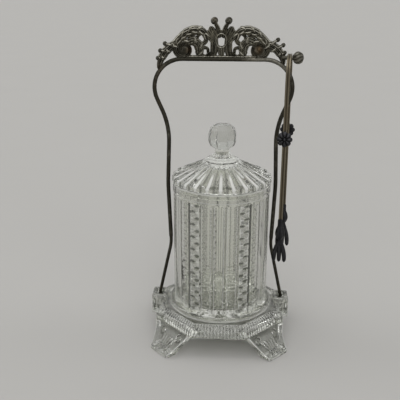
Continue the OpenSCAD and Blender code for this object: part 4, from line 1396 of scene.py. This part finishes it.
@dataclass
class Tongs:
    """Spring tongs: one strip bent over the hook, a rosette on each arm and a three-pronged claw on each end."""

    middle: Place = (49.4, 0.0, 216.8)
    turn_deg: float = -8.0
    bow_r: float = 13.0
    strip_w: float = 3.2
    strip_t: float = 1.3
    lean_deg: float = 2.3
    arm_len: float = 115.5
    rosette_drop: float = 47.8
    rosette_r: float = 6.0
    petals: int = 8
    bulb_len: float = 18.0
    bulb_w: float = 7.6
    grip: float = 4.0
    prong_len: float = 22.0
    prong_spread: float = 4.1
    prong_r: float = 1.45
    prong_tilt: float = 7.0
    blend_reach: float = 0.004

    def plane(self) -> Array:
        """Matrix from the tongs' own plane, with the bow's centre at its origin."""
        return shift_matrix(*self.middle) @ turn_matrix("Z", self.turn_deg)

    def along_arm(self, side: Side) -> Array:
        """Matrix from an arm's own drawing, where the arm hangs down -Z from the origin and -Y faces out.

        Args:
            side: Front arm or rear arm.

        Returns:
            The 4 x 4 matrix.
        """
        mirror = np.diag([1.0, -float(side.value), 1.0, 1.0])
        lean = turn_matrix("X", -self.lean_deg) @ shift_matrix(0.0, -self.bow_r - self.strip_t / 2, 0.0)
        return self.plane() @ mirror @ lean

    def strip(self, side: Side) -> bpy.types.Object:
        """Half of the strip, carried from the bow's top round to the arm's end.

        The path is a quarter circle and a straight arm. The section is a rectangle with round edges and a shallow
        groove along the middle of its outer and inner faces.

        Args:
            side: Front half or rear half.

        Returns:
            The strip's mesh object.
        """
        r = self.bow_r + self.strip_t / 2
        lean = math.radians(self.lean_deg)
        bow = arc((0.0, 0.0), r, 90.0, 180.0 - self.lean_deg, 40)
        foot = bow[-1] + self.arm_len * np.array([-math.sin(lean), -math.cos(lean)])
        path = spaced(np.concatenate([bow, [foot]]), 0.8)
        a = around(32)
        x, flat = (np.sign(turn) * np.abs(turn) ** 0.35 for turn in (np.cos(a), np.sin(a)))
        x = x * self.strip_w / 2
        groove = np.exp(-((x / 0.42) ** 2))
        bent = carried(path, flat * self.strip_t / 2 * (1.0 - 0.42 * groove), x)
        points = grid(bent[..., 1], bent[..., 0] * -side.value, bent[..., 2])
        return skinned(f"tong_strip_{side.arm}", placed(points, self.plane()), 0.92 - 0.95 * groove)

    def rosette(self, side: Side) -> bpy.types.Object:
        """Flower with domed petals and a boss, as rings from its face's middle over the rim to its back.

        The rim is at R * (0.8 + 0.2 |cos(petals / 2 * a)|^0.6) and the face rises as a dome over each petal.

        Args:
            side: Front arm or rear arm.

        Returns:
            The rosette's mesh object.
        """
        a = around(128)
        lobe = np.abs(np.cos(self.petals / 2 * a)) ** 0.6
        s = np.concatenate([np.linspace(0.04, 1.0, 26), [0.98, 0.9, 0.3, 0.06]])[:, None]
        back = np.concatenate([np.zeros(26), [0.5, 1.0, 1.0, 1.0]])[:, None]
        r = self.rosette_r * s * (0.8 + 0.2 * lobe * ease(s, 0.25, 0.7))
        boss = 1.9 * np.sqrt(np.clip(1.0 - (s / 0.3) ** 2, 0.0, 1.0))
        petal = 2.0 * np.sin(math.pi * np.clip((s - 0.2) / 0.8, 0.0, 1.0) ** 0.8) * (0.35 + 0.65 * lobe)
        height = (1.1 + np.maximum(boss, petal) * 0.8) * (1.0 - back)
        points = grid(r * np.cos(a), -self.strip_t / 2 - height, -self.rosette_drop + r * np.sin(a))
        relief = np.clip(0.15 + 0.75 * lobe * ease(s, 0.3, 0.6) + 0.6 * (s < 0.2), 0.0, 1.0)
        return skinned(f"tong_rosette_{side.arm}", placed(points, self.along_arm(side)), relief)

    def claw(self, side: Side) -> bpy.types.Object:
        """Claw: a ribbed drop turned about the arm and three prongs that fork from one stem.

        With t from 0 at the top to 1 below, the drop's radius is w / 2 * sin(pi t^1.6)^0.7, no less than the socket's
        round the strip, with six ribs. A prong's radius swells towards its lower half and ends in a blunt point.

        Args:
            side: Front arm or rear arm.

        Returns:
            The claw's mesh object.
        """
        shell = Shell()
        a = around(72)
        t = np.linspace(0.0, 0.985, 44)[:, None]
        ribs = np.cos(6.0 * a)
        drop = self.bulb_w / 2 * np.sin(math.pi * t**1.6) ** 0.7
        socket = 2.2 * (1.0 - ease(t, 0.3, 0.55)) * (0.8 + 0.2 * ease(t, 0.0, 0.06))
        spindle = np.maximum(drop, socket) * (0.95 + 0.05 * ribs * ease(t, 0.2, 0.5))
        centre = -self.arm_len - self.bulb_len / 2 + self.grip
        bulb = grid(spindle * np.cos(a), spindle * np.sin(a), centre + (0.5 - t) * self.bulb_len)
        place = self.along_arm(side)
        shell.skin(placed(bulb, place), 0.35 + 0.3 * ribs)
        root = centre - self.bulb_len / 2 + 2.0 * self.prong_r
        hang = place @ shift_matrix(0.0, 0.0, root) @ turn_matrix("X", self.prong_tilt)
        tip, b = self.prong_len - 0.1, around(24)
        for s in (-self.prong_spread, 0.0, self.prong_spread):
            path = spaced(guide_curve(((0.0, 0.5), (0.3 * s, -0.3 * tip), (1.1 * s, -0.5 * tip), (s, -tip))), 0.4)
            v = (run_along(path) / run_along(path)[-1])[:, None]
            r = self.prong_r * (0.95 + 0.28 * np.sin(math.pi * v**1.7)) * blunt(path, 0.5, 2.4)[:, None]
            prong = carried(path, r * np.cos(b), r * np.sin(b))
            shell.skin(placed(prong, hang), 0.3 + 0.35 * np.sin(math.pi * v))
        return shell.build(f"tong_claw_{side.arm}")

    def build(self) -> None:
        """Make both halves: each strip keeps its place in its mesh and hides the plain solids of the bow and its arm,
        and each rosette and claw rides on its arm.
        """
        for side in Side:
            strip, arm = dress(self.strip(side), SpringStrip()), f"{side.arm}_arm"
            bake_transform(strip)
            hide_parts(*(["tong_bow"] if side is Side.NEGATIVE else []), f"{side.arm}_tong_arm")
            stand_for(dress(self.rosette(side), BlackenedCasting()), arm, f"{side.arm}_tong_rosette")
            stand_for(dress(self.claw(side), BlackenedCasting()), arm, f"{side.arm}_tong_claw")


@dataclass
class Studio:
    """Pale floor that runs to the horizon, soft light, and a camera at the photograph's viewing angle."""

    floor_colour: Colour = (0.5, 0.492, 0.475)
    floor_radii: tuple[float, ...] = (20.0, 100.0, 400.0, 1500.0, 6000.0, 40000.0, 40000.0)
    floor_top: float = -0.05
    floor_low: float = -20.0
    camera_at: Place = (0.00873, -0.4771, 0.2803)
    pitch_deg: float = 70.83
    pan_deg: float = 3.13
    roll_deg: float = 0.18
    lens_mm: float = 56.1
    sensor_mm: float = 36.0
    aim: Place = (0.0, 0.0, 0.12)
    lamps: tuple[tuple[str, Place, float, float], ...] = (
        ("overhead", (-0.1, -0.35, 1.25), 62.0, 1.08),
        ("front", (0.2, -1.0, 0.5), 85.0, 0.98),
        ("left", (-1.1, 0.25, 0.85), 36.0, 0.4),
        ("right", (1.1, 0.2, 0.9), 26.0, 0.2),
        ("glint", (0.25, -0.9, 0.75), 6.0, 0.12),
    )
    backdrop: float = 0.48
    bounces: int = 24

    def floor(self) -> None:
        """Broad thin disc, as rings of growing radius, with a faintly clouded pale finish."""
        r = np.array(self.floor_radii)[:, None]
        z = np.array([self.floor_top] * (len(r) - 1) + [self.floor_low])[:, None]
        piece = skinned("floor", turned(r, z, around(96)))
        made, shade = fresh_material("pale_cloth")
        clouds = shade.grain(160.0, 2.0)
        shade.surface(
            {
                "Base Color": shade.mix(clouds, tuple(0.97 * c for c in self.floor_colour), self.floor_colour),
                "Roughness": 0.85 + 0.1 * shade.grain(30.0),
                "Specular IOR Level": 0.15,
            }
        )
        piece.data.materials.append(made)

    def light(self) -> None:
        """Room light that grows from behind the camera to ahead, an even backdrop in its view, and far-off lamps."""
        world = bpy.data.worlds.new("studio")
        world.use_nodes = True
        shade = Shade(world.node_tree)
        way = shade.node("ShaderNodeSeparateXYZ", None, {0: shade.out(shade.node("ShaderNodeTexCoord"), "Generated")})
        up, ahead = shade.out(way, "Z"), shade.out(way, "Y")
        level = 0.06 + 0.5 * (ahead * 1.1 + 0.45).clamped() + 0.12 * up.clamped()
        seen = shade.out(shade.node("ShaderNodeLightPath"), "Is Camera Ray")
        strength = level + seen * (self.backdrop - level)
        sky = shade.node("ShaderNodeBackground", None, {"Color": (1.0, 1.0, 0.985, 1.0), "Strength": strength})
        shade.node("ShaderNodeOutputWorld", None, {"Surface": shade.out(sky)})
        bpy.context.scene.world = world
        for name, spot, spread_deg, strength in self.lamps:
            lamp = bpy.data.lights.new(name, "SUN")
            lamp.angle = math.radians(spread_deg)
            lamp.energy = strength
            holder = bpy.data.objects.new(name, lamp)
            turn = (Vector(spot) - Vector(self.aim)).to_track_quat("Z", "Y")
            holder.matrix_world = Matrix.Translation(spot) @ turn.to_matrix().to_4x4()
            bpy.context.scene.collection.objects.link(holder)

    def camera(self) -> None:
        """Camera at the photograph's place: pan about Z, pitch about X, then roll about its own axis."""
        lens = bpy.data.cameras.new("photograph")
        lens.lens = self.lens_mm
        lens.sensor_width = self.sensor_mm
        lens.clip_end = 200.0
        holder = bpy.data.objects.new("photograph", lens)
        turn = turn_matrix("Z", self.pan_deg) @ turn_matrix("X", self.pitch_deg) @ turn_matrix("Z", self.roll_deg)
        holder.matrix_world = Matrix(shift_matrix(*self.camera_at) @ turn)
        bpy.context.scene.collection.objects.link(holder)
        bpy.context.scene.camera = holder

    def build(self) -> None:
        """Set the stage, the plain view transform and enough bounces for light inside thick glass."""
        self.floor()
        self.light()
        self.camera()
        scene = bpy.context.scene
        scene.view_settings.view_transform = "Standard"
        scene.cycles.max_bounces = scene.cycles.transmission_bounces = scene.cycles.glossy_bounces = self.bounces


def main() -> None:
    """Build the stage and each sub-assembly in order."""
    logging.basicConfig(level=logging.INFO, format="%(name)s: %(message)s")
    for part in (Studio(), GlassStand(), GlassJar(), GlassLid(), WireBail(), CastCrest(), TongHook(), Tongs()):
        part.build()
        LOG.info("built %s", type(part).__name__)


if __name__ == "__main__":
    main()
